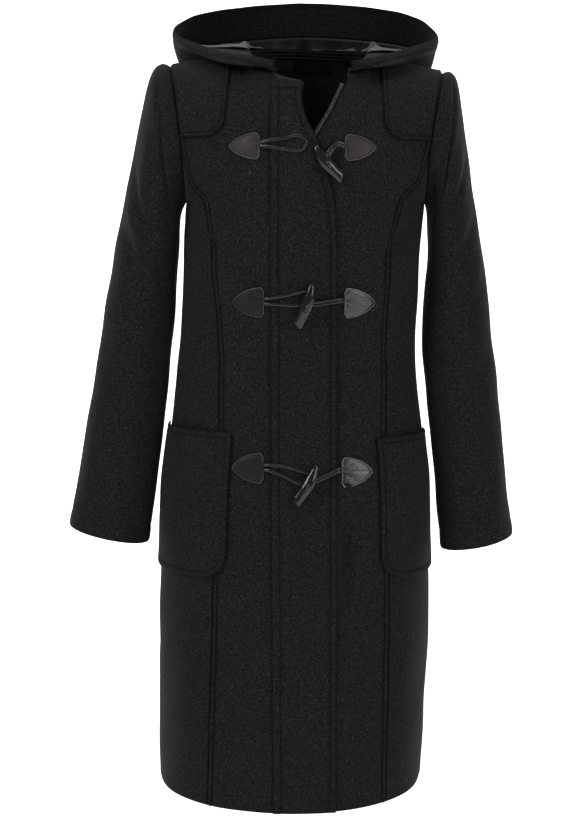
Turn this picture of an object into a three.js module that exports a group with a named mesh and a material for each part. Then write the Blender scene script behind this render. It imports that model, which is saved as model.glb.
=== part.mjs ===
// A knee-length duffle coat, filled out with no wearer: hollow cloth walls from the hem to the laid-open hood.
// Millimetres, +Z up. The front faces -Y, so the wearer's right side is at -X.
// The origin is between the shoulders.
import * as THREE from 'three';

const coat = new THREE.Group();
coat.name = 'duffle_coat';

const mix = (from, to, share) => from + (to - from) * share;
const point = (x, y, z) => new THREE.Vector3(x, y, z);
const steps = (count) => Array.from({ length: count + 1 }, (_, index) => index / count);

// Wall thicknesses and clearances.
const WOOL = 3.0;
const OVERLAY = 2.5;
const LEATHER = 1.5;
const SATIN = 1.0;
const SEAM_GAP = 0.36;
const LAY_GAP = 0.7;

// Reads one column of a table at any place along its first column, as a smooth curve through the rows.
function reader(table, place, column) {
  const places = table.map((row) => row[place]);
  const values = table.map((row) => row[column]);
  const last = values.length - 1;
  const slopes = values.map((_, index) => {
    const before = Math.max(index - 1, 0);
    const after = Math.min(index + 1, last);
    return (values[after] - values[before]) / (places[after] - places[before]);
  });
  const rising = places[last] > places[0];
  return (where) => {
    let index = 0;
    while (index < last - 1 && (rising ? where > places[index + 1] : where < places[index + 1])) {
      index += 1;
    }
    const span = places[index + 1] - places[index];
    const t = Math.min(Math.max((where - places[index]) / span, 0), 1);
    const t2 = t * t;
    const t3 = t2 * t;
    return (2 * t3 - 3 * t2 + 1) * values[index] + (t3 - 2 * t2 + t) * span * slopes[index]
      + (3 * t2 - 2 * t3) * values[index + 1] + (t3 - t2) * span * slopes[index + 1];
  };
}

// The body below the armholes: one row for each level, from the hem up.
const LEVELS = [
  { z: -980, half: 183, front: 160, back: 165, middle: -20 },
  { z: -880, half: 185, front: 154, back: 162, middle: -18 },
  { z: -770, half: 187, front: 147, back: 157, middle: -15 },
  { z: -650, half: 184, front: 138, back: 152, middle: -14 },
  { z: -560, half: 180, front: 129, back: 144, middle: -13 },
  { z: -480, half: 170, front: 118, back: 128, middle: -12 },
  { z: -400, half: 162, front: 108, back: 110, middle: -11 },
  { z: -320, half: 160, front: 114, back: 113, middle: -7 },
  { z: -250, half: 160, front: 123, back: 122, middle: -4 },
  { z: -188, half: 161, front: 120, back: 127, middle: 0 },
];
const ARMPIT = -188;
const HEM = -980;
const HEM_DIP = 8;
const halfWidth = reader(LEVELS, 'z', 'half');
const frontDepth = reader(LEVELS, 'z', 'front');
const backDepth = reader(LEVELS, 'z', 'back');
const middle = reader(LEVELS, 'z', 'middle');

// turn runs from -1 at the wearer's right side to 1 at the left side, and is 0 at the centre front or back.
function section(face, turn, z) {
  const angle = turn * Math.PI / 2;
  const fullness = 1 + 0.05 * Math.sin(2 * angle) ** 2;
  const deep = (face === 'front' ? -frontDepth(z) : backDepth(z)) * Math.cos(angle) * fullness;
  const nearHem = Math.max(0, Math.min(1, (HEM + 150 - z) / 150));
  const dip = face === 'front' ? HEM_DIP * nearHem * Math.cos(angle) ** 2 : 0;
  return point(middle(z) + halfWidth(z) * Math.sin(angle) * fullness, deep, z - dip);
}

// The armhole of each side: its top, its underarm and its furthest points to the front and the back.
const ARMHOLES = {
  '-1': {
    top: point(-181, 6, -7),
    under: point(-161, 0, ARMPIT),
    front: point(-164, -74, -100),
    back: point(-167, 86, -95),
  },
  '1': {
    top: point(184, 6, -16),
    under: point(161, 0, ARMPIT),
    front: point(164, -74, -104),
    back: point(168, 86, -100),
  },
};

// A closed ring through four rails; angle 0 is its top, 90 its front, 180 its underarm and 270 its back.
function ring(rails, angle) {
  const centre = rails.top.clone().add(rails.under).multiplyScalar(0.5);
  const upright = rails.top.clone().sub(rails.under).multiplyScalar(0.5 * Math.cos(angle));
  const across = rails.front.clone().sub(rails.back).multiplyScalar(0.5 * Math.sin(angle));
  const shift = rails.front.clone().add(rails.back).multiplyScalar(0.5).sub(centre);
  return centre.clone().add(upright).add(across).add(shift.multiplyScalar(Math.sin(angle) ** 2));
}

// The upper edge of a front or back: the neckline near the centre, then the shoulder seam out to the armhole.
const NECK = { x: 4, half: 80, y: 8, rightZ: 10, leftZ: 5, front: 98, frontDrop: 40, back: 68, backRise: 7 };
const NECK_SHARE = 0.34;
function neckPoint(side) {
  return point(NECK.x + side * NECK.half, NECK.y, side < 0 ? NECK.rightZ : NECK.leftZ);
}
function topEdge(face, turn) {
  const side = turn < 0 ? -1 : 1;
  const share = Math.abs(turn);
  if (share >= NECK_SHARE) {
    return neckPoint(side).lerp(ARMHOLES[side].top, (share - NECK_SHARE) / (1 - NECK_SHARE));
  }
  const angle = share / NECK_SHARE * Math.PI / 2;
  const across = NECK.x + side * NECK.half * Math.sin(angle);
  const level = mix((NECK.rightZ + NECK.leftZ) / 2, neckPoint(side).z, Math.sin(angle));
  const cosine = Math.cos(angle);
  if (face === 'front') {
    return point(across, NECK.y - NECK.front * cosine, level - NECK.frontDrop * cosine ** 1.5);
  }
  return point(across, NECK.y + NECK.back * cosine, level + NECK.backRise * cosine);
}

// One column of the upper body, risen from the armpit level to the upper edge and rounded over the shoulder.
function column(face, turn, share) {
  const foot = section(face, turn, ARMPIT);
  const head = topEdge(face, turn);
  const even = Math.sin(share * Math.PI / 2);
  const eased = (1 - Math.cos(share * Math.PI)) / 2;
  const rise = mix(even, eased, THREE.MathUtils.smoothstep(Math.abs(turn), 0.25, 0.85));
  const round = Math.sqrt(Math.max(0, 1 - rise ** 2.4));
  return point(mix(foot.x, head.x, rise), head.y + (foot.y - head.y) * round, mix(foot.z, head.z, rise));
}

// The outer face of the body cloth.
// height is below 0 under the armpit, in decimetres, and runs to 1 at the top.
function body(face, turn, height) {
  if (height <= 0) {
    return section(face, turn, ARMPIT + height * 100);
  }
  const side = turn < 0 ? -1 : 1;
  const place = column(face, turn, height);
  const angle = face === 'front' ? Math.PI * (1 - height) : Math.PI * (1 + height);
  const pull = ring(ARMHOLES[side], angle).sub(column(face, side, height));
  return place.add(pull.multiplyScalar(turn * turn));
}

// The outward direction of a surface at one place, from its own slopes.
function outward(surface, u, v, sign) {
  const small = 0.002;
  const alongU = surface(u + small, v).sub(surface(u - small, v));
  const alongV = surface(u, v).sub(surface(u, v - small));
  return alongU.cross(alongV).normalize().multiplyScalar(sign);
}
function bodyOutward(face, turn, height) {
  const surface = (u, v) => body(face, u, v);
  const inside = Math.max(-0.997, Math.min(0.997, turn));
  const direction = outward(surface, inside, height, face === 'front' ? 1 : -1);
  const side = turn < 0 ? -1 : 1;
  if (height > 0 && Math.abs(turn) > 0.99) {
    direction.x = side * Math.max(0, side * direction.x);
  }
  if (height > 0.995 && Math.abs(turn) > NECK_SHARE) {
    direction.y = 0;
  }
  return direction.normalize();
}
function onBody(face, turn, height, lift) {
  const place = body(face, turn, height).addScaledVector(bodyOutward(face, turn, height), lift);
  if (height > 0.995 && Math.abs(turn) > NECK_SHARE - 0.001) {
    place.y += (face === 'front' ? -1 : 1) * SEAM_GAP / 2;
  }
  return place;
}

// Finds the turn at which a row of the front crosses a given x, and the place of a front-view point (x, z).
function turnAt(height, across, face = 'front') {
  let low = -1;
  let high = 1;
  for (let round = 0; round < 30; round += 1) {
    const half = (low + high) / 2;
    const here = body(face, half, height);
    if (here.x < across(here.z)) {
      low = half;
    } else {
      high = half;
    }
  }
  return (low + high) / 2;
}
function heightAt(turn, z, face = 'front') {
  let low = -8.2;
  let high = 1;
  for (let round = 0; round < 34; round += 1) {
    const half = (low + high) / 2;
    if (body(face, turn, half).z < z) {
      low = half;
    } else {
      high = half;
    }
  }
  return (low + high) / 2;
}
function find(x, z, face = 'front') {
  let height = (z - ARMPIT) / 100;
  let turn = 0;
  for (let round = 0; round < 12; round += 1) {
    turn = turnAt(Math.min(height, 1), () => x, face);
    height = heightAt(turn, z, face);
  }
  return { turn, height };
}
function over(x, z, lift) {
  const place = find(x, z);
  return onBody('front', place.turn, place.height, lift);
}

// Makes one closed mesh from an outer and an inner grid of points.
// Looped grids close on themselves along a row.
function wall(name, outer, inner, material, looped = false) {
  const rows = outer.length;
  const columns = outer[0].length;
  const vertices = [];
  for (const grid of [outer, inner]) {
    for (const row of grid) {
      for (const place of row) {
        vertices.push(place.x, place.y, place.z);
      }
    }
  }
  const index = (side, row, col) => side * rows * columns + row * columns + (col % columns);
  const faces = [];
  const quad = (a, b, c, d) => {
    faces.push(a, b, c, a, c, d);
  };
  const across = looped ? columns : columns - 1;
  for (let row = 0; row < rows - 1; row += 1) {
    for (let col = 0; col < across; col += 1) {
      quad(index(0, row, col), index(0, row, col + 1), index(0, row + 1, col + 1), index(0, row + 1, col));
      quad(index(1, row, col), index(1, row + 1, col), index(1, row + 1, col + 1), index(1, row, col + 1));
    }
  }
  for (let col = 0; col < across; col += 1) {
    quad(index(0, 0, col), index(1, 0, col), index(1, 0, col + 1), index(0, 0, col + 1));
    const top = rows - 1;
    quad(index(0, top, col), index(0, top, col + 1), index(1, top, col + 1), index(1, top, col));
  }
  if (!looped) {
    for (let row = 0; row < rows - 1; row += 1) {
      quad(index(0, row, 0), index(0, row + 1, 0), index(1, row + 1, 0), index(1, row, 0));
      const end = columns - 1;
      quad(index(0, row, end), index(1, row, end), index(1, row + 1, end), index(0, row + 1, end));
    }
  }
  return addMesh(name, vertices, faces, material);
}

// Adds a mesh to the coat, turned the right way out.
function addMesh(name, vertices, faces, material) {
  const corner = (number) => point(vertices[3 * number], vertices[3 * number + 1], vertices[3 * number + 2]);
  let volume = 0;
  for (let start = 0; start < faces.length; start += 3) {
    volume += corner(faces[start]).dot(corner(faces[start + 1]).cross(corner(faces[start + 2])));
  }
  if (volume < 0) {
    for (let start = 0; start < faces.length; start += 3) {
      [faces[start + 1], faces[start + 2]] = [faces[start + 2], faces[start + 1]];
    }
  }
  const geometry = new THREE.BufferGeometry();
  geometry.setAttribute('position', new THREE.Float32BufferAttribute(vertices, 3));
  geometry.setIndex(faces);
  geometry.computeVertexNormals();
  const mesh = new THREE.Mesh(geometry, new THREE.MeshStandardMaterial(material));
  mesh.name = name;
  coat.add(mesh);
  return mesh;
}

const WOOL_LOOK = { color: 0x1b1c20, roughness: 0.95, metalness: 0 };
const SATIN_LOOK = { color: 0x2b2c31, roughness: 0.4, metalness: 0 };
const LABEL_LOOK = { color: 0x08080a, roughness: 0.6, metalness: 0 };
const LEATHER_LOOK = { color: 0x1d1512, roughness: 0.35, metalness: 0 };
const HORN_LOOK = { color: 0x15110f, roughness: 0.12, metalness: 0 };
const ZIP_LOOK = { color: 0x3a3b3f, roughness: 0.35, metalness: 0.8 };

// A piece of cloth cut from the body: its rows, its two seams as turns, and how far it lies off the face.
function bodyPiece(name, face, rows, leftSeam, rightSeam, shares, lift, thickness, material) {
  const outer = [];
  const inner = [];
  for (const height of rows) {
    const left = leftSeam(height);
    const right = rightSeam(height);
    const places = shares.map((share) => mix(left, right, share));
    outer.push(places.map((turn) => onBody(face, turn, height, lift)));
    inner.push(places.map((turn) => onBody(face, turn, height, lift - thickness)));
  }
  return wall(name, outer, inner, material);
}

// The turn that lies half a seam gap to one side of a seam.
function beside(face, turn, height, side) {
  const run = body(face, turn + 0.002, height).distanceTo(body(face, turn - 0.002, height)) / 0.004;
  return turn + side * SEAM_GAP / 2 / run;
}

// Rows shared by all the body pieces: heights of the levels under the armpit, then shares of the upper body.
const LOWER_ROWS = [-980, -850, -705, -630, -560, -495, -440, -390, -340, -290, -240, -188];
const UPPER_ROWS = [0.11, 0.22, 0.33, 0.41, 0.45, 0.55, 0.66, 0.77, 0.87, 0.95, 1];
const SIDE_TOP = 0.45;
const SIDE_TIP = 0.41;
const lowerRows = LOWER_ROWS.map((z) => (z - ARMPIT) / 100);
const allRows = [...lowerRows, ...UPPER_ROWS];

// The curved seams down the fronts, in the front view, from the hem up to the armpit level.
const FRONT_SEAMS = [
  { z: -980, right: -130, left: 107 },
  { z: -770, right: -124, left: 109 },
  { z: -640, right: -120, left: 110 },
  { z: -480, right: -113, left: 106 },
  { z: -400, right: -113, left: 106 },
  { z: -320, right: -117, left: 107 },
  { z: -250, right: -124, left: 113 },
  { z: -188, right: -133, left: 126 },
];
const rightSeamX = reader(FRONT_SEAMS, 'z', 'right');
const leftSeamX = reader(FRONT_SEAMS, 'z', 'left');
function frontSeam(side, height) {
  const seamX = side < 0 ? rightSeamX : leftSeamX;
  if (height <= 0) {
    return turnAt(height, (z) => seamX(z));
  }
  const start = turnAt(0, () => seamX(ARMPIT));
  return mix(start, side * 0.975, Math.min(1, height / SIDE_TOP) ** 1.25);
}

// The two front edges: closed under the placket, and open in a V above the first toggle.
const EDGE_X = [
  { z: -980, right: -1, left: 1 },
  { z: -118, right: -1, left: 2 },
  { z: -104, right: -1, left: 14 },
  { z: -70, right: -4, left: 34 },
  { z: -30, right: -6, left: 54 },
];
function stepped(table, key, z) {
  let index = 0;
  while (index < table.length - 2 && z > table[index + 1].z) {
    index += 1;
  }
  const share = (z - table[index].z) / (table[index + 1].z - table[index].z);
  return mix(table[index][key], table[index + 1][key], Math.min(Math.max(share, 0), 1));
}
const rightEdge = (height) => turnAt(height, (z) => stepped(EDGE_X, 'right', z));
const leftEdge = (height) => turnAt(height, (z) => stepped(EDGE_X, 'left', z));

const FRONT_SHARES = [0, 0.11, 0.22, NECK_SHARE, 0.46, 0.58, 0.7, 0.81, 0.91, 1];
const mirrored = (shares) => shares.map((share) => 1 - share).reverse();

// Fronts: on each side a centre panel up to the neck and shoulder, and a side panel that ends at the armhole.
for (const side of [-1, 1]) {
  const word = side < 0 ? 'right' : 'left';
  const lowSeam = (height) => beside('front', frontSeam(side, height), height, -side);
  const seam = (height) => (height < SIDE_TOP - 0.001 ? lowSeam(height) : side);
  const centre = side < 0 ? rightEdge : leftEdge;
  const centrePair = side < 0 ? [seam, centre] : [centre, seam];
  const centreShares = side < 0 ? mirrored(FRONT_SHARES) : FRONT_SHARES;
  bodyPiece(`front_centre_${word}`, 'front', allRows, ...centrePair, centreShares, 0, WOOL, WOOL_LOOK);
  const inner = (height) => beside('front', frontSeam(side, height), height, side);
  const outer = (height) => (height < 0.001 ? beside('front', side, height, -side) : side);
  const sideRows = allRows.filter((height) => height <= SIDE_TIP);
  const sidePair = side < 0 ? [outer, inner] : [inner, outer];
  bodyPiece(`front_side_${word}`, 'front', sideRows, ...sidePair, steps(5), 0, WOOL, WOOL_LOOK);
}

// Back: two halves from the centre-back seam to the side seams, up to the neck and shoulders.
const BACK_SHARES = [0, 0.11, 0.22, NECK_SHARE, 0.5, 0.67, 0.84, 1];
for (const side of [-1, 1]) {
  const word = side < 0 ? 'right' : 'left';
  const centre = (height) => beside('back', 0, height, side);
  const edge = (height) => (height < 0.001 ? beside('back', side, height, -side) : side);
  const pair = side < 0 ? [edge, centre] : [centre, edge];
  const shares = side < 0 ? mirrored(BACK_SHARES) : BACK_SHARES;
  bodyPiece(`back_${word}`, 'back', allRows, ...pair, shares, 0, WOOL, WOOL_LOOK);
}

// Sleeves: a tube through rails on its outside, inside, front and back, one row for each ring from the armhole.
const SLEEVES = {
  '-1': [
    { at: 0, outX: -181, outZ: -7, inX: -161, inZ: -188, front: -74, back: 86, scoop: 5.5 },
    { at: 1, outX: -192, outZ: -4, inX: -166, inZ: -198, front: -78, back: 89, scoop: 3 },
    { at: 2, outX: -205, outZ: -16, inX: -168.5, inZ: -209, front: -79, back: 88, scoop: 0 },
    { at: 3, outX: -217, outZ: -60, inX: -170, inZ: -224, front: -76, back: 83, scoop: 0 },
    { at: 4, outX: -228, outZ: -112, inX: -171, inZ: -244, front: -71, back: 77, scoop: 0 },
    { at: 5, outX: -242, outZ: -174, inX: -173, inZ: -272, front: -66, back: 71, scoop: 0 },
    { at: 6, outX: -255, outZ: -240, inX: -175, inZ: -308, front: -62, back: 65, scoop: 0 },
    { at: 7, outX: -270, outZ: -318, inX: -180, inZ: -358, front: -61, back: 58, scoop: 0 },
    { at: 8, outX: -283, outZ: -396, inX: -186, inZ: -428, front: -62, back: 54, scoop: 0 },
    { at: 9, outX: -297, outZ: -478, inX: -195, inZ: -505, front: -64, back: 49, scoop: 0 },
    { at: 10, outX: -311, outZ: -555, inX: -205, inZ: -580, front: -66, back: 44, scoop: 0 },
    { at: 11, outX: -324, outZ: -627, inX: -215, inZ: -651, front: -68, back: 40, scoop: 0 },
  ],
  '1': [
    { at: 0, outX: 184, outZ: -16, inX: 161, inZ: -188, front: -74, back: 86, scoop: -5.5 },
    { at: 1, outX: 194, outZ: -14, inX: 165, inZ: -198, front: -78, back: 89, scoop: -3 },
    { at: 2, outX: 204, outZ: -28, inX: 166.5, inZ: -209, front: -79, back: 88, scoop: 0 },
    { at: 3, outX: 210, outZ: -68, inX: 167, inZ: -224, front: -76, back: 83, scoop: 0 },
    { at: 4, outX: 217, outZ: -114, inX: 167, inZ: -244, front: -71, back: 77, scoop: 0 },
    { at: 5, outX: 227, outZ: -176, inX: 166, inZ: -272, front: -66, back: 71, scoop: 0 },
    { at: 6, outX: 238, outZ: -242, inX: 163, inZ: -308, front: -62, back: 65, scoop: 0 },
    { at: 7, outX: 249, outZ: -320, inX: 160, inZ: -358, front: -61, back: 58, scoop: 0 },
    { at: 8, outX: 259, outZ: -400, inX: 164, inZ: -430, front: -62, back: 54, scoop: 0 },
    { at: 9, outX: 268, outZ: -484, inX: 173, inZ: -508, front: -64, back: 49, scoop: 0 },
    { at: 10, outX: 277, outZ: -566, inX: 180, inZ: -586, front: -66, back: 44, scoop: 0 },
    { at: 11, outX: 286, outZ: -640, inX: 187, inZ: -660, front: -68, back: 40, scoop: 0 },
  ],
};
function sleeveSurface(side) {
  const table = SLEEVES[side];
  const read = {};
  for (const column of ['outX', 'outZ', 'inX', 'inZ', 'front', 'back', 'scoop']) {
    read[column] = reader(table, 'at', column);
  }
  return (angle, at) => {
    const where = Math.min(Math.max(at, 0), 11);
    const middleX = (read.outX(where) + read.inX(where)) / 2 + read.scoop(where);
    const middleZ = (read.outZ(where) + read.inZ(where)) / 2;
    const middleY = (read.front(where) + read.back(where)) / 2;
    const rails = {
      top: point(read.outX(where), middleY, read.outZ(where)),
      under: point(read.inX(where), middleY, read.inZ(where)),
      front: point(middleX, read.front(where), middleZ),
      back: point(middleX, read.back(where), middleZ),
    };
    for (const rail of ['top', 'under', 'front', 'back']) {
      rails[rail].lerpVectors(ARMHOLES[side][rail], rails[rail].clone(), Math.min(1, where));
    }
    return ring(rails, angle);
  };
}
const ARMHOLE_GAP = 0.6;
const SLEEVE_ROWS = [0, 0.5, 1, 1.7, 2.6, 3.7, 5, 6.4, 7.8, 9.4, 11];
// The sleeve's columns meet the rows of the fronts and backs along the armhole.
const sharesUnderTop = UPPER_ROWS.slice(0, -1);
const SLEEVE_ANGLES = [1, ...sharesUnderTop.slice().reverse(), 0].map((row) => Math.PI * (1 - row))
  .concat(sharesUnderTop.map((row) => Math.PI * (1 + row)));
for (const side of [-1, 1]) {
  const surface = sleeveSurface(side);
  const outer = [];
  const inner = [];
  for (const at of SLEEVE_ROWS) {
    const outerRow = [];
    const innerRow = [];
    for (const angle of SLEEVE_ANGLES) {
      const slope = outward(surface, angle, Math.max(at, 0.05), side);
      if (at === 0) {
        slope.x = side * Math.min(0, side * slope.x);
        slope.normalize();
      }
      const place = surface(angle, at);
      place.x += at === 0 ? side * ARMHOLE_GAP : 0;
      outerRow.push(place);
      innerRow.push(place.clone().addScaledVector(slope, -WOOL));
    }
    outer.push(outerRow);
    inner.push(innerRow);
  }
  wall(side < 0 ? 'sleeve_right' : 'sleeve_left', outer, inner, WOOL_LOOK, true);
}

// Placket: the flap over the front edges, from its squared tab at the neck to the hem.
const PLACKET = [
  { z: -980, left: -43, right: 40 },
  { z: -640, left: -45, right: 41 },
  { z: -300, left: -46, right: 41 },
  { z: -190, left: -46, right: 37 },
  { z: -112, left: -46, right: 17 },
  { z: -80, left: -46, right: 1 },
  { z: -55, left: -45, right: -5 },
  { z: -36, left: -45, right: -2 },
];
const PLACKET_TOP = -36;
const PLACKET_GAP = 0.9;
const PLACKET_ROWS = [-987.5, ...LOWER_ROWS.slice(1), -168, -148, -130, -112, -96, -80, -64, -49, PLACKET_TOP];
const placketLeft = reader(PLACKET, 'z', 'left');
const placketRight = reader(PLACKET, 'z', 'right');
{
  const outer = [];
  const inner = [];
  for (const z of PLACKET_ROWS) {
    const places = steps(4).map((share) => mix(placketLeft(z), placketRight(z), share));
    outer.push(places.map((x) => over(x, z, PLACKET_GAP + OVERLAY)));
    inner.push(places.map((x) => over(x, z, PLACKET_GAP)));
  }
  wall('placket', outer, inner, WOOL_LOOK);
}

// Yokes: a raised flap on each shoulder front, from the neck to the armhole, with a rounded lower inner corner.
const YOKE_GAP = 1.1;
const YOKES = {
  '-1': { inside: -98, low: -104, corner: 26 },
  '1': { inside: 98, low: -108, corner: 26 },
};
for (const side of [-1, 1]) {
  const yoke = YOKES[side];
  const insideTurn = Math.abs(turnAt(0.75, () => yoke.inside));
  const outer = [];
  const inner = [];
  const turns = [insideTurn, insideTurn + 0.03, insideTurn + 0.07, 0.58, 0.7, 0.81, 0.91, 0.985];
  const foot = turns.map((turn) => {
    const from = Math.abs(body('front', side * turn, 0.6).x - yoke.inside);
    const reach = Math.min(1, from / yoke.corner);
    const raise = yoke.corner * (1 - Math.sqrt(1 - (1 - reach) ** 2));
    return heightAt(side * turn, yoke.low + raise);
  });
  for (const level of [0, 0.5, 0.55, 0.66, 0.77, 0.87, 0.95, 0.985]) {
    const heights = foot.map((low) => (level < 0.55 ? mix(low, 0.55, level) : level));
    outer.push(turns.map((turn, index) => onBody('front', side * turn, heights[index], YOKE_GAP + OVERLAY)));
    inner.push(turns.map((turn, index) => onBody('front', side * turn, heights[index], YOKE_GAP)));
  }
  wall(side < 0 ? 'yoke_right' : 'yoke_left', outer, inner, WOOL_LOOK);
}

// Patch pockets: from the inner edge round to the side seam, with a rounded lower inner corner.
const POCKET_GAP = 1.2;
const POCKETS = {
  '-1': { inside: -101, top: -486, bottom: -680, corner: 34 },
  '1': { inside: 97, top: -495, bottom: -684, corner: 34 },
};
const POCKET_TURNS = [0, 0.04, 0.1, 0.2, 0.34, 0.5, 0.66, 0.83, 1];
for (const side of [-1, 1]) {
  const pocket = POCKETS[side];
  const insideTurn = Math.abs(turnAt((-580 - ARMPIT) / 100, () => pocket.inside));
  const outer = [];
  const inner = [];
  for (const share of [0, 0.12, 0.3, 0.5, 0.75, 1]) {
    const rowOuter = [];
    const rowInner = [];
    for (const across of POCKET_TURNS) {
      const turn = side * mix(insideTurn, 0.985, across);
      const from = Math.abs(body('front', turn, -4).x - body('front', side * insideTurn, -4).x);
      const reach = Math.min(1, from / pocket.corner);
      const raise = pocket.corner * (1 - Math.sqrt(1 - (1 - reach) ** 2));
      const z = mix(pocket.bottom + raise, pocket.top, share);
      rowOuter.push(onBody('front', turn, (z - ARMPIT) / 100, POCKET_GAP + OVERLAY));
      rowInner.push(onBody('front', turn, (z - ARMPIT) / 100, POCKET_GAP));
    }
    outer.push(rowOuter);
    inner.push(rowInner);
  }
  wall(side < 0 ? 'pocket_right' : 'pocket_left', outer, inner, WOOL_LOOK);
}

// Hood: laid open behind the neck. Each row is a section from the neck seam, through the fold, up to the rim.
// share runs from -1 at the right front end, through 0 at the centre back, to 1 at the left front end.
const HOOD = [
  { at: -1, low: [-39, -92, -19], deep: [-40, -96, -18], high: [-41, -99, -14], rim: [-40, -97, -6] },
  { at: -0.75, low: [-80, -70, -3], deep: [-108, -74, -12], high: [-136, -64, -10], rim: [-118, -47, 13] },
  { at: -0.5, low: [-112, 20, 20], deep: [-150, 28, 8], high: [-188, 34, 6], rim: [-177, 26, 41] },
  { at: -0.25, low: [-82, 108, 8], deep: [-108, 140, -105], high: [-176, 190, -95], rim: [-138, 108, 75] },
  { at: 0, low: [4, 150, 2], deep: [4, 165, -190], high: [4, 265, -190], rim: [-3, 155, 93] },
  { at: 0.25, low: [90, 108, 4], deep: [116, 140, -107], high: [180, 190, -97], rim: [134, 108, 75] },
  { at: 0.5, low: [120, 20, 15], deep: [156, 28, 3], high: [189, 34, 1], rim: [178, 26, 36] },
  { at: 0.75, low: [88, -70, -8], deep: [112, -74, -16], high: [138, -64, -14], rim: [120, -47, 10] },
  { at: 1, low: [56, -88, -21], deep: [58, -92, -20], high: [60, -96, -16], rim: [58, -95, -8] },
];
const SEAM_RAISE = 2.4;
const HOOD_ENDS = { '-1': 0.12, '1': 0.15 };
const hoodRead = {};
for (const part of ['low', 'deep', 'high', 'rim']) {
  const column = (axis) => HOOD.map((row) => ({ at: row.at, value: row[part][axis] }));
  hoodRead[part] = [0, 1, 2].map((axis) => reader(column(axis), 'at', 'value'));
}
// The neck seam of the hood follows the necklines, just above them.
function hoodSeam(share) {
  const side = share < 0 ? -1 : 1;
  const along = Math.abs(share) * 2;
  const turn = along <= 1 ? along * NECK_SHARE : mix(NECK_SHARE, HOOD_ENDS[side], along - 1);
  const place = topEdge(along <= 1 ? 'back' : 'front', side * Math.min(turn, NECK_SHARE - 0.0001));
  place.z += SEAM_RAISE;
  return place;
}
function hood(share, rise) {
  const corner = (part) => point(...hoodRead[part].map((read) => read(share)));
  const left = 1 - rise;
  return hoodSeam(share).multiplyScalar(left ** 4)
    .addScaledVector(corner('low'), 4 * left ** 3 * rise)
    .addScaledVector(corner('deep'), 6 * left ** 2 * rise ** 2)
    .addScaledVector(corner('high'), 4 * left * rise ** 3)
    .addScaledVector(corner('rim'), rise ** 4);
}
function hoodOutward(share, rise) {
  const inShare = Math.max(-0.995, Math.min(0.995, share));
  return outward(hood, inShare, Math.max(rise, 0.01), -1);
}
// The rise of a row of the hood at one share. A row states its distance from the rim, for the facing's strip,
// and how much of the rest of the way down to the neck seam it has gone. Short sections have a narrower strip.
const FACING_WIDTH = 48;
const FULL_SECTION = 150;
function hoodRise(share, row) {
  const count = 160;
  const lengths = [0];
  for (let index = 1; index <= count; index += 1) {
    const above = hood(share, 1 - (index - 1) / count);
    const below = hood(share, 1 - index / count);
    lengths.push(lengths[index - 1] + above.distanceTo(below));
  }
  const whole = lengths[count];
  const squeeze = Math.min(1, whole / FULL_SECTION);
  const wanted = row.fromRim * squeeze + (whole - FACING_WIDTH * squeeze) * row.rest;
  let index = 0;
  while (index < count - 1 && lengths[index + 1] < wanted) {
    index += 1;
  }
  const within = (wanted - lengths[index]) / (lengths[index + 1] - lengths[index]);
  return Math.min(1, Math.max(0, 1 - (index + within) / count));
}
const REST_SHARES = [0.12, 0.24, 0.34, 0.43, 0.51, 0.6, 0.7, 0.8, 0.9, 0.96, 1];
const HOOD_ROWS = [
  { fromRim: 0, rest: 0 },
  { fromRim: 6, rest: 0 },
  { fromRim: 20, rest: 0 },
  { fromRim: 34, rest: 0 },
  { fromRim: 47, rest: 0 },
  { fromRim: 49, rest: 0 },
  ...REST_SHARES.map((rest) => ({ fromRim: FACING_WIDTH, rest })),
];
function hoodPiece(name, shares, rows, lift, thickness, material) {
  const outer = [];
  const inner = [];
  for (const row of rows) {
    const offFace = (share, height) => {
      const rise = hoodRise(share, row);
      return hood(share, rise).addScaledVector(hoodOutward(share, rise), height);
    };
    outer.push(shares.map((share) => offFace(share, lift)));
    inner.push(shares.map((share) => offFace(share, lift - thickness)));
  }
  wall(name, outer, inner, material);
}
const FACING_ROWS = HOOD_ROWS.slice(1, 5);
const HOOD_LINING_ROWS = HOOD_ROWS.slice(5, -2);
const insideHood = -WOOL - 1.4;
const HOOD_COLUMNS = 12;
const HOOD_SEAM_SHARE = 0.0012;
function hoodShares(from, to) {
  return Array.from({ length: to - from + 1 }, (_, index) => (from + index) / HOOD_COLUMNS);
}
const rightShares = hoodShares(-12, 0).map((share) => share || -HOOD_SEAM_SHARE);
const leftShares = hoodShares(0, 12).map((share) => share || HOOD_SEAM_SHARE);
hoodPiece('hood_right', rightShares, HOOD_ROWS, 0, WOOL, WOOL_LOOK);
hoodPiece('hood_left', leftShares, HOOD_ROWS, 0, WOOL, WOOL_LOOK);
hoodPiece('hood_facing', hoodShares(-7, 7), FACING_ROWS, insideHood, 2, WOOL_LOOK);
hoodPiece('hood_lining', hoodShares(-6, 6), HOOD_LINING_ROWS, insideHood - 0.5, SATIN, SATIN_LOOK);

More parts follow.
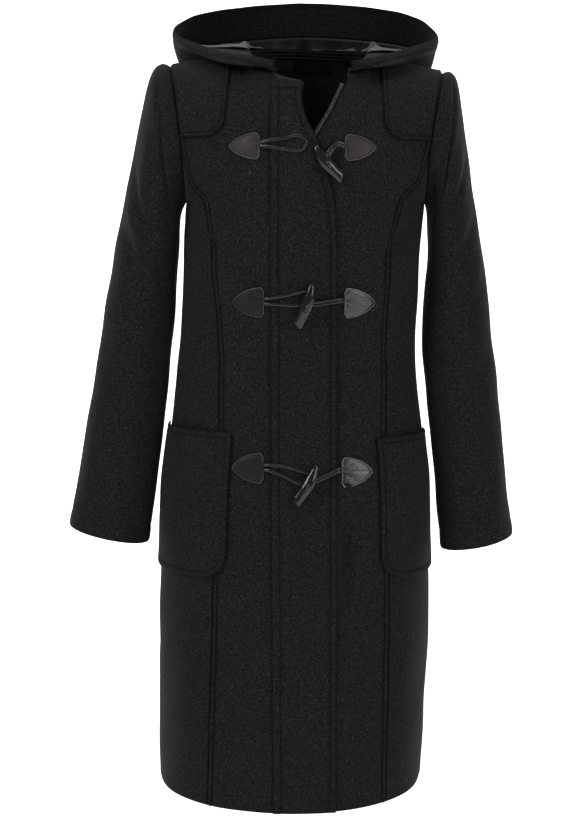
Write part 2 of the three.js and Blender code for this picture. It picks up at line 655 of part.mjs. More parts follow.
// Back neck lining, and the blank label on it.
const LINING_ROWS = [0.33, 0.45, 0.55, 0.66, 0.77, 0.87, 0.95, 0.99];
const LINING_TURNS = [-NECK_SHARE, -0.22, -0.11, 0, 0.11, 0.22, NECK_SHARE];
const liningLift = -WOOL - LAY_GAP;
const zero = () => 0;
const one = () => 1;
bodyPiece('neck_lining', 'back', LINING_ROWS, zero, one, LINING_TURNS, liningLift, SATIN, SATIN_LOOK);
const LABEL = { left: -15, right: 36, low: -7, high: 9, thick: 0.8, gap: 1.9 };
{
  const outer = [];
  const inner = [];
  for (const z of [LABEL.low, (LABEL.low + LABEL.high) / 2, LABEL.high]) {
    const places = steps(4).map((share) => find(mix(LABEL.left, LABEL.right, share), z, 'back'));
    const lift = liningLift - SATIN - LABEL.gap;
    outer.push(places.map((place) => onBody('back', place.turn, place.height, lift)));
    inner.push(places.map((place) => onBody('back', place.turn, place.height, lift - LABEL.thick)));
  }
  wall('neck_label', outer, inner, LABEL_LOOK);
}

// A strap or rod swept along a path: a ring of corners at each path point, with both ends closed.
function sweep(name, path, corners, material) {
  const rings = path.map((place, index) => {
    const before = path[Math.max(index - 1, 0)];
    const after = path[Math.min(index + 1, path.length - 1)];
    const along = after.centre.clone().sub(before.centre).normalize();
    const side = along.clone().cross(place.up).normalize();
    const up = side.clone().cross(along).normalize();
    return corners(place).map(([wide, tall]) => place.centre.clone().addScaledVector(side, wide)
      .addScaledVector(up, tall));
  });
  const count = rings[0].length;
  const vertices = [];
  for (const loop of rings) {
    for (const place of loop) {
      vertices.push(place.x, place.y, place.z);
    }
  }
  const faces = [];
  for (let row = 0; row < rings.length - 1; row += 1) {
    for (let col = 0; col < count; col += 1) {
      const next = (col + 1) % count;
      const a = row * count + col;
      const b = row * count + next;
      faces.push(a, b, b + count, a, b + count, a + count);
    }
  }
  const last = (rings.length - 1) * count;
  for (let col = 1; col < count - 1; col += 1) {
    faces.push(0, col + 1, col);
    faces.push(last, last + col, last + col + 1);
  }
  return addMesh(name, vertices, faces, material);
}
const strapCorners = (width, height) => () => [[-width / 2, -height / 2], [width / 2, -height / 2],
  [width / 2, height / 2], [-width / 2, height / 2]];
const roundCorners = (count) => (place) => Array.from({ length: count }, (_, index) => {
  const angle = index / count * 2 * Math.PI;
  return [place.radius * Math.cos(angle), place.radius * Math.sin(angle)];
});

// Zip: the stretch that shows along the left front edge, in the V of the neck.
const ZIP_WIDTH = 5;
{
  const path = steps(5).map((share) => {
    const z = mix(-110, -36, share);
    const x = stepped(EDGE_X, 'left', z) - ZIP_WIDTH / 2 - 1.2;
    const place = find(x, z);
    const centre = onBody('front', place.turn, place.height, -1.6);
    return { centre, up: bodyOutward('front', place.turn, place.height) };
  });
  sweep('zip_left', path, strapCorners(ZIP_WIDTH, 1.6), ZIP_LOOK);
}

// Leather patches: a flat edge towards the centre and two curved sides that meet in a rounded outer tip.
const PATCHES = [
  { name: 'top', side: 'right', flat: -59, width: 39, z: -116, half: 17 },
  { name: 'top', side: 'left', flat: 50, width: 40, z: -118, half: 17 },
  { name: 'middle', side: 'right', flat: -54, width: 40, z: -316, half: 20 },
  { name: 'middle', side: 'left', flat: 50, width: 40, z: -317, half: 20 },
  { name: 'bottom', side: 'right', flat: -55, width: 41, z: -532, half: 20 },
  { name: 'bottom', side: 'left', flat: 47, width: 41, z: -538, half: 20 },
];
const PATCH_SHARES = [0, 0.25, 0.5, 0.72, 0.88, 0.97, 1];
const patchHalf = (share) => Math.max(0.14, (1 - share ** 2.1) ** 0.72);
for (const patch of PATCHES) {
  const outwards = patch.side === 'right' ? -1 : 1;
  const outer = [];
  const inner = [];
  for (const up of [-1, 0, 1]) {
    const places = PATCH_SHARES.map((share) => [patch.flat + outwards * patch.width * share,
      patch.z + up * patch.half * patchHalf(share)]);
    outer.push(places.map(([x, z]) => over(x, z, LAY_GAP + LEATHER)));
    inner.push(places.map(([x, z]) => over(x, z, LAY_GAP)));
  }
  wall(`patch_${patch.name}_${patch.side}`, outer, inner, LEATHER_LOOK);
}

// Leather loops on the right side of each row: two strands from the patch that meet in a rounded end.
// Each place is x, z and its height over the body's face: ON_PATCH at the patch, OVER_EDGE where the strand
// rises over the placket's edge, and ON_PLACKET along the placket, under the toggle.
const STRAND = { width: 3.6, height: 2 };
const ON_PATCH = 3.5;
const OVER_EDGE = 5.7;
const ON_PLACKET = 5;
const LOOPS = [
  {
    name: 'top',
    places: [[-58.6, -112, ON_PATCH], [-47.5, -109.5, OVER_EDGE], [-30, -107, ON_PLACKET],
      [-12, -103.5, ON_PLACKET], [-3, -106.5, ON_PLACKET], [0.5, -113.5, ON_PLACKET], [-4, -120.5, ON_PLACKET],
      [-14, -122.5, ON_PLACKET], [-30, -120, ON_PLACKET], [-47.5, -117, OVER_EDGE], [-58.6, -116, ON_PATCH]],
  },
  {
    name: 'middle',
    places: [[-53.6, -311, ON_PATCH], [-46.5, -310, OVER_EDGE], [-24, -306, ON_PLACKET],
      [-6, -302, ON_PLACKET], [6, -303, ON_PLACKET], [10, -311, ON_PLACKET], [5, -318, ON_PLACKET],
      [-8, -320, ON_PLACKET], [-24, -319, ON_PLACKET], [-46.5, -317.5, OVER_EDGE], [-53.6, -317, ON_PATCH]],
  },
  {
    name: 'bottom',
    places: [[-54.6, -528, ON_PATCH], [-46.5, -527.5, OVER_EDGE], [-25, -530, ON_PLACKET],
      [-8, -535, ON_PLACKET], [5, -540, ON_PLACKET], [8, -548, ON_PLACKET], [1, -553.5, ON_PLACKET],
      [-10, -551, ON_PLACKET], [-25, -543.5, ON_PLACKET], [-46.5, -535, OVER_EDGE], [-54.6, -534, ON_PATCH]],
  },
];
// A smooth path through the places, with the body's outward direction at each point.
function pathOver(places, count) {
  const through = places.map(([x, z, lift]) => over(x, z, lift));
  const curve = new THREE.CatmullRomCurve3(through, false, 'centripetal');
  return steps(count).map((share) => {
    const centre = curve.getPoint(share);
    const place = find(centre.x, centre.z);
    return { centre, up: bodyOutward('front', place.turn, place.height) };
  });
}
for (const loop of LOOPS) {
  const corners = strapCorners(STRAND.width, STRAND.height);
  sweep(`loop_${loop.name}`, pathOver(loop.places, 26), corners, LEATHER_LOOK);
}

// Leather straps on the left side of each row, from the patch to the middle of the toggle.
// Each place is x, z and its height over the body's face.
const STRAPS = [
  {
    name: 'top',
    places: [[49.6, -116, 3.6], [42, -114, 6], [35, -117, 6.4], [30, -124, 7.5], [28, -130, 8.5]],
  },
  {
    name: 'middle',
    places: [[49.6, -313, 3.6], [42, -313, 6.4], [28, -315, 5.8], [14, -317, 7.4], [6, -317, 8.2]],
  },
  {
    name: 'bottom',
    places: [[46.6, -534, 3.9], [41.8, -535, 6.6], [26, -542, 5.8], [13, -548, 7.4], [6, -550, 8.2]],
  },
];
for (const strap of STRAPS) {
  sweep(`strap_${strap.name}`, pathOver(strap.places, 9), strapCorners(5.5, 2.4), LEATHER_LOOK);
}

// Toggles: a tapered, slightly bent horn across the end of each loop, thick at one end, pointed at the other.
const TOGGLES = [
  { name: 'top', from: [11, -117], to: [45, -157], lift: 10.6, bend: 3, thick: 6.2 },
  { name: 'middle', from: [8, -289], to: [-11, -344], lift: 12.7, bend: -3, thick: 6.4 },
  { name: 'bottom', from: [14, -527], to: [-13, -575], lift: 14.2, bend: -3, thick: 6.4 },
];
const TOGGLE_RADII = [0.35, 0.68, 0.85, 0.97, 1, 0.98, 0.95, 0.9, 0.8];
for (const toggle of TOGGLES) {
  const start = over(...toggle.from, toggle.lift);
  const end = over(...toggle.to, toggle.lift);
  const up = over(...toggle.from, toggle.lift + 1).sub(start);
  const sideways = end.clone().sub(start).cross(up).normalize();
  const path = steps(TOGGLE_RADII.length - 1).map((share, index) => ({
    centre: start.clone().lerp(end, share).addScaledVector(sideways, toggle.bend * Math.sin(Math.PI * share))
      .addScaledVector(up, 2 * Math.sin(Math.PI * share)),
    up,
    radius: toggle.thick * TOGGLE_RADII[index],
  }));
  sweep(`toggle_${toggle.name}`, path, roundCorners(10), HORN_LOOK);
}

export default coat;
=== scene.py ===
import math

import bpy
import numpy as np
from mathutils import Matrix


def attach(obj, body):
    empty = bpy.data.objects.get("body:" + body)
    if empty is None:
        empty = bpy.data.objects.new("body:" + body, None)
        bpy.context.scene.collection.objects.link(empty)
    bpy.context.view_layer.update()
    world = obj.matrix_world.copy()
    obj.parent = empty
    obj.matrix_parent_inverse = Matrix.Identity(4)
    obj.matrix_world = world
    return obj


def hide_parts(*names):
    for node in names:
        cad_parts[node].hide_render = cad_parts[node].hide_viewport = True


# A knee-length duffle coat, filled out with no wearer: felted wool, leather patches and loops, horn toggles.
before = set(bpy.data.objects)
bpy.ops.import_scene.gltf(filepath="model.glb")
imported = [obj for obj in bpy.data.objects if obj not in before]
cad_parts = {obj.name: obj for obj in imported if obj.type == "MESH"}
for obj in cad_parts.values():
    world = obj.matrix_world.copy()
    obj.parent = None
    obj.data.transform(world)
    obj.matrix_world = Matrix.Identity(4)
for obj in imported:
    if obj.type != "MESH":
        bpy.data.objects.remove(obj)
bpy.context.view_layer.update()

# The studio: a pale paper floor whose far edge curls up and forwards into a backdrop 1.4 m behind the coat,
# large soft lights, and the camera at the photo's angle. The coat is held up by its shoulders, so nothing
# stands on the floor. The backdrop hides the coat from a camera behind it.
CAMERA_PLACE = (-0.0177, -2.25, -0.177)
CAMERA_TILT = math.radians(7.4)
LENS = 72.7
SENSOR = 36
FLOOR_LEVEL = -1.55
FLOOR_FRONT = -5.0
FLOOR_BACK = 2.6
SWEEP_RADIUS = 1.2
BACKDROP_HEIGHT = 5.0
BACKDROP_WIDTH = 12.0
PAPER_GLOW = 0.75
WORLD_STRENGTH = 0.3


def deselect_all():
    """Leaves no object selected."""
    for each in bpy.context.selected_objects:
        each.select_set(False)


scene = bpy.context.scene
scene.view_settings.view_transform = "Standard"
camera = bpy.data.objects.new("camera", bpy.data.cameras.new("camera"))
scene.collection.objects.link(camera)
scene.camera = camera
camera.location = CAMERA_PLACE
camera.rotation_euler = (math.pi / 2 - CAMERA_TILT, 0, 0)
camera.data.lens = LENS
camera.data.sensor_width = SENSOR
camera.data.clip_end = 60

deselect_all()
bpy.ops.mesh.primitive_plane_add(size=1, location=(0, (FLOOR_FRONT + FLOOR_BACK) / 2, FLOOR_LEVEL))
floor = bpy.context.active_object
floor.name = "floor"
floor.scale = (BACKDROP_WIDTH, FLOOR_BACK - FLOOR_FRONT, 1)
bpy.ops.object.transform_apply(location=True, scale=True)
bpy.ops.object.mode_set(mode="EDIT")
bpy.ops.mesh.select_all(action="DESELECT")
bpy.ops.object.mode_set(mode="OBJECT")
for edge in floor.data.edges:
    edge.select = all(floor.data.vertices[index].co.y > FLOOR_BACK - 0.01 for index in edge.vertices)
bpy.ops.object.mode_set(mode="EDIT")
bpy.ops.mesh.spin(steps=16, angle=math.pi / 2, axis=(1, 0, 0),
                  center=(0, FLOOR_BACK, FLOOR_LEVEL + SWEEP_RADIUS))
bpy.ops.mesh.extrude_region_move(TRANSFORM_OT_translate={"value": (0, 0, BACKDROP_HEIGHT)})
bpy.ops.object.mode_set(mode="OBJECT")
bpy.ops.object.shade_smooth()

paper = bpy.data.materials.new("pale paper")
paper.use_nodes = True
paper_shader = paper.node_tree.nodes["Principled BSDF"]
paper_shader.inputs["Base Color"].default_value = (0.9, 0.9, 0.9, 1)
paper_shader.inputs["Roughness"].default_value = 0.9
paper_shader.inputs["Emission Color"].default_value = (1, 1, 1, 1)
paper_shader.inputs["Emission Strength"].default_value = PAPER_GLOW
floor.data.materials.append(paper)

world = bpy.data.worlds.new("studio")
scene.world = world
world.use_nodes = True
world.node_tree.nodes["Background"].inputs["Color"].default_value = (1, 1, 1, 1)
world.node_tree.nodes["Background"].inputs["Strength"].default_value = WORLD_STRENGTH

# Each light: its name, place, the point it faces, its width and height in metres, and its power in watts.
LIGHTS = (
    ("key", (-2.4, -1.9, 1.7), (0, 0, -0.35), 1.1, 1.8, 70),
    ("fill", (2.3, -2.4, 0.6), (0, 0, -0.5), 1.2, 2.2, 42),
    ("top", (0.1, -0.5, 2.3), (0, 0.05, 0), 1.6, 1.0, 24),
)
for name, place, target, width, height, power in LIGHTS:
    lamp = bpy.data.objects.new(name, bpy.data.lights.new(name, "AREA"))
    scene.collection.objects.link(lamp)
    lamp.data.shape = "RECTANGLE"
    lamp.data.size = width
    lamp.data.size_y = height
    lamp.data.energy = power
    aim = np.array(target, float) - np.array(place, float)
    lamp.location = place
    tilt = math.atan2(math.hypot(aim[0], aim[1]), -aim[2])
    lamp.rotation_euler = (tilt, 0, math.atan2(aim[1], aim[0]) - math.pi / 2)


# Wool cloth. A thick, felted wool blend, near black, with a short nap that hides its weave and shows as
# fine lighter specks. The nap is a grain in colour and height, over faint clouds where the cloth was
# pressed or rubbed.
class Shade:
    """One output in a material's tree. It takes part in Python sums, and makes the nodes that read it."""

    def __init__(self, tree, socket):
        self.tree = tree
        self.socket = socket

    def node(self, kind, settings=None, inputs=None, output=0):
        """Adds a node: its settings first, then the values or links of its sockets."""
        made = self.tree.nodes.new(kind)
        for key, value in (settings or {}).items():
            setattr(made, key, value)
        for key, value in (inputs or {}).items():
            if isinstance(value, Shade):
                self.tree.links.new(value.socket, made.inputs[key])
            else:
                made.inputs[key].default_value = value
        return Shade(self.tree, made.outputs[output])

    def math(self, operation, first, second):
        """Adds a Math node on two values."""
        return self.node("ShaderNodeMath", {"operation": operation}, {0: first, 1: second})

    def __add__(self, other):
        return self.math("ADD", self, other)

    __radd__ = __add__

    def __mul__(self, other):
        return self.math("MULTIPLY", self, other)

    def __sub__(self, other):
        return self.math("SUBTRACT", self, other)

    def __gt__(self, other):
        return self.math("GREATER_THAN", self, other)

    def attribute(self, name):
        """Reads a value that the mesh holds at its points."""
        return self.node("ShaderNodeAttribute", {"attribute_name": name}, output=2)

    def noise(self, scale, detail=2.0, roughness=0.5, stretch=(1, 1, 1)):
        """Reads a cloudy pattern at this place, with a scale in features per metre."""
        place = self.node("ShaderNodeMapping", None, {"Vector": self, "Scale": stretch})
        return self.node("ShaderNodeTexNoise", None,
                         {"Vector": place, "Scale": scale, "Detail": detail, "Roughness": roughness})

    def spread(self, low, high):
        """Stretches the values between low and high over 0 to 1."""
        return self.node("ShaderNodeMapRange", {"interpolation_type": "SMOOTHSTEP"},
                         {"Value": self, "From Min": low, "From Max": high})

    def blend(self, first, second):
        """Mixes two colours by this value."""
        return self.node("ShaderNodeMix", {"data_type": "RGBA"}, {0: self, 6: first, 7: second}, output=2)


def new_finish(name, constants):
    """Starts a material, and returns it with its shader and Object coordinates."""
    made = bpy.data.materials.new(name)
    made.use_nodes = True
    shader = made.node_tree.nodes["Principled BSDF"]
    for key, value in constants.items():
        shader.inputs[key].default_value = value
    texture = made.node_tree.nodes.new("ShaderNodeTexCoord")
    return made, shader, Shade(made.node_tree, texture.outputs["Object"])


def connect(shader, key, shade):
    """Leads a value into one of the shader's own sockets."""
    shade.tree.links.new(shade.socket, shader.inputs[key])


def add_relief(shader, height, distance, strength=1.0):
    """Gives the shader a relief, with its full height in metres."""
    bump = height.node("ShaderNodeBump", None, {"Height": height, "Distance": distance, "Strength": strength})
    connect(shader, "Normal", bump)


WOOL_DARK = (0.0030, 0.0029, 0.0036, 1)
WOOL_MIDDLE = (0.0140, 0.0136, 0.0158, 1)
WOOL_SPECK = (0.038, 0.037, 0.043, 1)
WOOL_PAINTED_SHADE = (0.0012, 0.0012, 0.0015, 1)
WOOL_BASE = {"Roughness": 0.95, "Sheen Weight": 0.03, "Sheen Roughness": 0.4, "Specular IOR Level": 0.08}
NAP_PER_METRE = 600
CLOUDS_PER_METRE = 14
GROUND_RANGE = (0.36, 0.66)
SPECK_RANGE = (0.57, 0.7)
WOOL_RELIEF = 0.0009
PAINTED_SHADE_STRENGTH = 0.9


def wool_finish(name):
    """Felted wool: dark ground, lighter fibre ends, a soft sheen at the rims, and painted shade along edges
    and stitch lines.
    """
    made, shader, here = new_finish(name, WOOL_BASE)
    nap = here.noise(NAP_PER_METRE, 3.0, 0.65)
    tufts = here.noise(NAP_PER_METRE * 0.6, 2.0, 0.6)
    clouds = here.noise(CLOUDS_PER_METRE, 3.0, 0.55)
    ground = (nap * 0.6 + tufts * 0.4).spread(*GROUND_RANGE).blend(WOOL_DARK, WOOL_MIDDLE)
    specks = nap.spread(*SPECK_RANGE) * (0.5 + clouds.spread(0.2, 0.8) * 0.5)
    # Painted shade: the seams value darkens the colour along rounded edges and stitch dips, where the nap is
    # also pressed flat.
    seams = here.attribute("seams")
    connect(shader, "Base Color", (seams * PAINTED_SHADE_STRENGTH).blend(specks.blend(ground, WOOL_SPECK), WOOL_PAINTED_SHADE))
    add_relief(shader, nap * 0.5 + tufts * 0.5, WOOL_RELIEF, 0.9)
    return made


wool = wool_finish("felted wool")

# The fronts. Each side has a centre panel, from the hem to the neck and shoulder, and a side panel that
# ends at the armhole, joined by a curved seam with a topstitched ridge. Cut from 3 mm wool, filled out as
# on a general figure.
MM = 0.001
WOOL_THICK = 3.0
OVERLAY_THICK = 2.5
HEM = -980
ARMPIT = -188
SIDES = ((-1, "right"), (1, "left"))
HEM_DIP = 8
HEM_DIP_HEIGHT = 150
BULGE = 0.05
# Levels of the body: z, half width, depth to the front, depth to the back, and the middle's x.
LEVELS = (
    (-980, 183, 160, 165, -20), (-880, 185, 154, 162, -18), (-770, 187, 147, 157, -15),
    (-650, 184, 138, 152, -14), (-560, 180, 129, 144, -13), (-480, 170, 118, 128, -12),
    (-400, 162, 108, 110, -11), (-320, 160, 114, 113, -7), (-250, 160, 123, 122, -4),
    (-188, 161, 120, 127, 0),
)


def smooth_reader(table, column):
    """Reads one column of a table at any place along its first column, as a smooth curve through the rows."""
    rows = sorted((float(row[0]), float(row[column])) for row in table)
    places = np.array([row[0] for row in rows])
    values = np.array([row[1] for row in rows])
    order = np.arange(len(rows))
    before = np.maximum(order - 1, 0)
    after = np.minimum(order + 1, len(rows) - 1)
    slopes = (values[after] - values[before]) / (places[after] - places[before])

    def read(where):
        where = np.asarray(where, float)
        index = np.clip(np.searchsorted(places, where, side="right") - 1, 0, len(rows) - 2)
        span = places[index + 1] - places[index]
        t = np.clip((where - places[index]) / span, 0, 1)
        start = (2 * t**3 - 3 * t**2 + 1) * values[index] + (t**3 - 2 * t**2 + t) * span * slopes[index]
        return start + (3 * t**2 - 2 * t**3) * values[index + 1] + (t**3 - t**2) * span * slopes[index + 1]

    return read


half_width, front_depth, back_depth, middle_x = (smooth_reader(LEVELS, column) for column in (1, 2, 3, 4))


def mix(start, end, share):
    """A value on the way from start to end."""
    return start + (end - start) * share


def smooth(value, low, high):
    """0 below low, 1 above high, and an even curve between them."""
    t = np.clip((value - low) / (high - low), 0, 1)
    return t * t * (3 - 2 * t)


def spot(x, y, z):
    """Points from their three coordinates."""
    return np.stack(np.broadcast_arrays(x, y, z), axis=-1).astype(float)


def section(face, turn, z):
    """The body under the armholes. turn is -1 at the right side, 0 at the centre and 1 at the left side."""
    angle = turn * np.pi / 2
    fullness = 1 + BULGE * np.sin(2 * angle) ** 2
    depth = -front_depth(z) if face == "front" else back_depth(z)
    near_hem = np.clip((HEM + HEM_DIP_HEIGHT - z) / HEM_DIP_HEIGHT, 0, 1)
    dip = HEM_DIP * near_hem * np.cos(angle) ** 2 if face == "front" else 0
    x = middle_x(z) + half_width(z) * np.sin(angle) * fullness
    return spot(x, depth * np.cos(angle) * fullness, z - dip)


# The armholes: the top, underarm, front and back of each, the right one first.
ARMHOLES = {
    "top": ((-181, 6, -7), (184, 6, -16)),
    "under": ((-161, 0, -188), (161, 0, -188)),
    "front": ((-164, -74, -100), (164, -74, -104)),
    "back": ((-167, 86, -95), (168, 86, -100)),
}


def armhole(rail, side):
    """One rail point of the armhole on the side that each value gives."""
    right, left = (np.array(place, float) for place in ARMHOLES[rail])
    return np.where(np.asarray(side)[..., None] < 0, right, left)


def ring(rails, angle):
    """A closed ring through four rails: top at angle 0, front at a quarter turn, underarm at a half."""
    cosine = np.cos(angle)[..., None]
    sine = np.sin(angle)[..., None]
    centre = (rails["top"] + rails["under"]) / 2
    shift = (rails["front"] + rails["back"]) / 2 - centre
    upright = (rails["top"] - rails["under"]) / 2 * cosine
    return centre + upright + (rails["front"] - rails["back"]) / 2 * sine + shift * sine**2


NECK_X = 4
NECK_HALF = 80
NECK_Y = 8
NECK_LEVELS = (10, 5)
NECK_FRONT = 98
NECK_FRONT_DROP = 40
NECK_BACK = 68
NECK_BACK_RISE = 7
NECK_SHARE = 0.34
SHOULDER_ROUNDING = 2.4


def top_edge(face, turn):
    """The upper edge of a front or back: the neckline, then the shoulder seam to the armhole."""
    side = np.where(turn < 0, -1, 1)
    share = np.abs(turn)
    neck_z = np.where(side < 0, NECK_LEVELS[0], NECK_LEVELS[1])
    neck = spot(NECK_X + side * NECK_HALF, NECK_Y, neck_z)
    shoulder = mix(neck, armhole("top", side), ((share - NECK_SHARE) / (1 - NECK_SHARE))[..., None])
    angle = np.clip(share / NECK_SHARE, 0, 1) * np.pi / 2
    cosine = np.clip(np.cos(angle), 0, 1)
    level = mix(sum(NECK_LEVELS) / 2, neck_z, np.sin(angle))
    across = NECK_X + side * NECK_HALF * np.sin(angle)
    if face == "front":
        curve = spot(across, NECK_Y - NECK_FRONT * cosine, level - NECK_FRONT_DROP * cosine**1.5)
    else:
        curve = spot(across, NECK_Y + NECK_BACK * cosine, level + NECK_BACK_RISE * cosine)
    return np.where((share >= NECK_SHARE)[..., None], shoulder, curve)


def column(face, turn, share):
    """One column of the upper body, from the armpit level to the upper edge and rounded over the shoulder."""
    foot = section(face, turn, np.full_like(turn, ARMPIT))
    head = top_edge(face, turn)
    even = np.sin(share * np.pi / 2)
    eased = (1 - np.cos(share * np.pi)) / 2
    rise = mix(even, eased, smooth(np.abs(turn), 0.25, 0.85))
    curve = np.sqrt(np.clip(1 - rise**SHOULDER_ROUNDING, 0, 1))
    return spot(mix(foot[..., 0], head[..., 0], rise), head[..., 1] + (foot[..., 1] - head[..., 1]) * curve,
                mix(foot[..., 2], head[..., 2], rise))


def body(face, turn, height):
    """The outer face of the body. height is in decimetres under the armpit, and runs from 0 to 1 above it."""
    turn, height = np.broadcast_arrays(np.asarray(turn, float), np.asarray(height, float))
    low = section(face, turn, ARMPIT + np.minimum(height, 0) * 100)
    share = np.clip(height, 0, 1)
    side = np.where(turn < 0, -1.0, 1.0)
    angle = np.pi * (1 - share) if face == "front" else np.pi * (1 + share)
    rails = {rail: armhole(rail, side) for rail in ARMHOLES}
    pull = ring(rails, angle) - column(face, side, share)
    high = column(face, turn, share) + pull * (turn**2)[..., None]
    return np.where((height > 0)[..., None], high, low)


def unit(vectors):
    """Vectors of length 1."""
    return vectors / np.maximum(np.linalg.norm(vectors, axis=-1, keepdims=True), 1e-9)


def body_normal(face, turn, height):
    """The outward direction of the body's face."""
    small = 0.002
    inside = np.clip(turn, -0.997, 0.997)
    across = body(face, inside + small, height) - body(face, inside - small, height)
    up = body(face, inside, height) - body(face, inside, height - small)
    return unit(np.cross(across, up)) * (1 if face == "front" else -1)


def bisect(low, high, is_below, rounds=22):
    """Closes in on the place where is_below stops being true, for many places at once."""
    for _ in range(rounds):
        half = (low + high) / 2
        below = is_below(half)
        low = np.where(below, half, low)
        high = np.where(below, high, half)
    return (low + high) / 2


def turn_at(height, seam_x, face="front"):
    """The turn at which each row of the body crosses the x that seam_x gives for its z."""
    height = np.asarray(height, float)

    def is_left(turn):
        here = body(face, turn, height)
        return here[..., 0] < seam_x(here[..., 2])

    return bisect(np.full_like(height, -1), np.full_like(height, 1), is_left)


LOWEST = -8.2


def find(x, z, face="front"):
    """The turn and height of each front-view place (x, z)."""
    x, z = (np.asarray(values, float) for values in np.broadcast_arrays(x, z))
    height = np.minimum((z - ARMPIT) / 100, 1)
    turn = np.zeros_like(x)
    for _ in range(8):
        turn = turn_at(height, lambda _z: x, face)
        height = bisect(np.full_like(x, LOWEST), np.full_like(x, 1.0),
                        lambda half: body(face, turn, half)[..., 2] < z)
    return turn, height


# Heights of rows: close together at the hem's fold and the shoulder, even between them.
EDGE_STEPS = (0, 0.3, 0.8, 1.4, 2.6)
ROW_STEP = 5.0
low_heights = np.concatenate([np.array(EDGE_STEPS) / 100, np.arange(6, ARMPIT - HEM, ROW_STEP) / 100])
low_heights += (HEM - ARMPIT) / 100
SIDE_TOP = 0.45
high_heights = np.concatenate([np.linspace(0, 0.975, 46), [0.984, 0.99, 0.994, 0.998, 1.0]])
body_heights = np.concatenate([low_heights[low_heights < -0.02], high_heights])


def length_along(line):
    """How far along a line each of its points is."""
    return np.concatenate([[0], np.cumsum(np.linalg.norm(np.diff(line, axis=0), axis=1))])


def columns_between(face, heights, left, right, near_left, near_right, count):
    """Turns for each row between two seams: at distances from the left and right, and evenly between."""
    turns = np.empty((len(heights), len(near_left) + count + len(near_right)))
    for index, height in enumerate(heights):
        line = np.linspace(left[index], right[index], 90)
        places = body(face, line, np.full_like(line, height))
        length = length_along(places)
        squeeze = min(1.0, length[-1] / (1.3 * (near_left[-1] + near_right[-1]) + 4))
        first = np.array(near_left) * squeeze
        last = length[-1] - np.array(near_right)[::-1] * squeeze
        between = np.linspace(first[-1], last[0], count + 2)[1:-1]
        turns[index] = np.interp(np.concatenate([first, between, last]), length, line)
    return turns


# How an edge of cloth is finished: how high its ridge stands, and how far inside the edge its stitches lie.
TURNED = (0.0, 0.0)
ALL_SIDES = ("left", "right", "bottom", "top")
ALL_TURNED = ((ALL_SIDES, TURNED),)
SEAM_RIDGE = (1.2, 6.0)
EDGE_RADIUS = 1.35
# Widths in millimetres of the painted shade along each edge and along each stitch line.
EDGE_SHADE = 1.7
STITCH_SHADE = 1.3
STITCH_DIP = 0.9
STITCH_WIDTH = 0.9
# The inner face follows the folds, and a little of the ridges and dips up to a limit.
FORM_LIMIT = 2.5
FORM_INSIDE = 0.2
FOLD_INSIDE = 0.8


def border(grid, side):
    """One border of a grid of points, with three more points between each two."""
    line = {"left": grid[:, 0], "right": grid[:, -1], "bottom": grid[0], "top": grid[-1]}[side]
    shares = np.arange(0, len(line) - 1 + 1e-9, 0.25)
    return np.stack([np.interp(shares, np.arange(len(line)), line[:, axis]) for axis in range(3)], axis=-1)


def distance_to(grid, line):
    """How far each point of a grid lies from the nearest point of a line."""
    chunk = 2000
    flat = grid.reshape(-1, 3)
    nearest = np.empty(len(flat))
    for start in range(0, len(flat), chunk):
        part = flat[start:start + chunk]
        squares = ((part[:, None, :] - line[None]) ** 2).sum(-1)
        nearest[start:start + chunk] = np.sqrt(squares.min(1))
    return nearest.reshape(grid.shape[:2])


def edge_form(distance, kind, radius):
    """How far the cloth's face sinks to its rounded edge, and how it rises and dips at its stitches."""
    inside = np.clip(distance / radius, 0, 1)
    rounding = -radius * (1 - np.sqrt(np.clip(1 - (1 - inside) ** 2, 0, 1)))
    rise, stitches = kind
    if stitches == 0:
        return rounding, np.zeros_like(distance)
    ridge = rise * smooth(distance, 0, 0.35 * stitches) * (1 - smooth(distance, 0.6 * stitches, stitches))
    dip = STITCH_DIP * np.exp(-((distance - stitches) / STITCH_WIDTH) ** 2)
    return rounding, ridge - dip


def add_object(name, vertices, faces, material):
    """Adds a smooth mesh object from points in millimetres, which rides with the coat."""
    mesh = bpy.data.meshes.new(name)
    mesh.from_pydata((vertices * MM).tolist(), [], faces)
    mesh.polygons.foreach_set("use_smooth", np.ones(len(faces), bool))
    mesh.materials.append(material)
    mesh.update()
    made = bpy.data.objects.new(name, mesh)
    scene.collection.objects.link(made)
    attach(made, "root")
    return made


def mesh_piece(name, vertices, faces, material):
    """Adds a closed mesh of quads, with its faces pointing out."""
    volume = 0
    for picked in ([0, 1, 2], [0, 2, 3]):
        corners = vertices[faces[:, picked]]
        volume += np.einsum("ij,ij->i", corners[:, 0], np.cross(corners[:, 1], corners[:, 2])).sum()
    if volume < 0:
        faces = faces[:, ::-1]
    return add_object(name, vertices, faces.tolist(), material)


def quads(*corners):
    """Faces from four grids of numbers, one for each corner."""
    return np.stack([corner.ravel() for corner in corners], axis=-1)


def closed_wall(outer, inner, looped):
    """Vertices and faces of a wall between two grids; a looped grid closes on itself along its rows."""
    rows, columns = outer.shape[:2]
    number = np.arange(rows * columns).reshape(rows, columns)
    if looped:
        number = np.concatenate([number, number[:, :1]], axis=1)
    other = number + rows * columns

    faces = [
        quads(number[:-1, :-1], number[:-1, 1:], number[1:, 1:], number[1:, :-1]),
        quads(other[:-1, :-1], other[1:, :-1], other[1:, 1:], other[:-1, 1:]),
        quads(number[0, :-1], other[0, :-1], other[0, 1:], number[0, 1:]),
        quads(number[-1, :-1], number[-1, 1:], other[-1, 1:], other[-1, :-1]),
    ]
    if not looped:
        faces.append(quads(number[:-1, 0], number[1:, 0], other[1:, 0], other[:-1, 0]))
        faces.append(quads(number[:-1, -1], other[:-1, -1], other[1:, -1], number[1:, -1]))
    return np.concatenate([outer.reshape(-1, 3), inner.reshape(-1, 3)]), np.concatenate(faces)


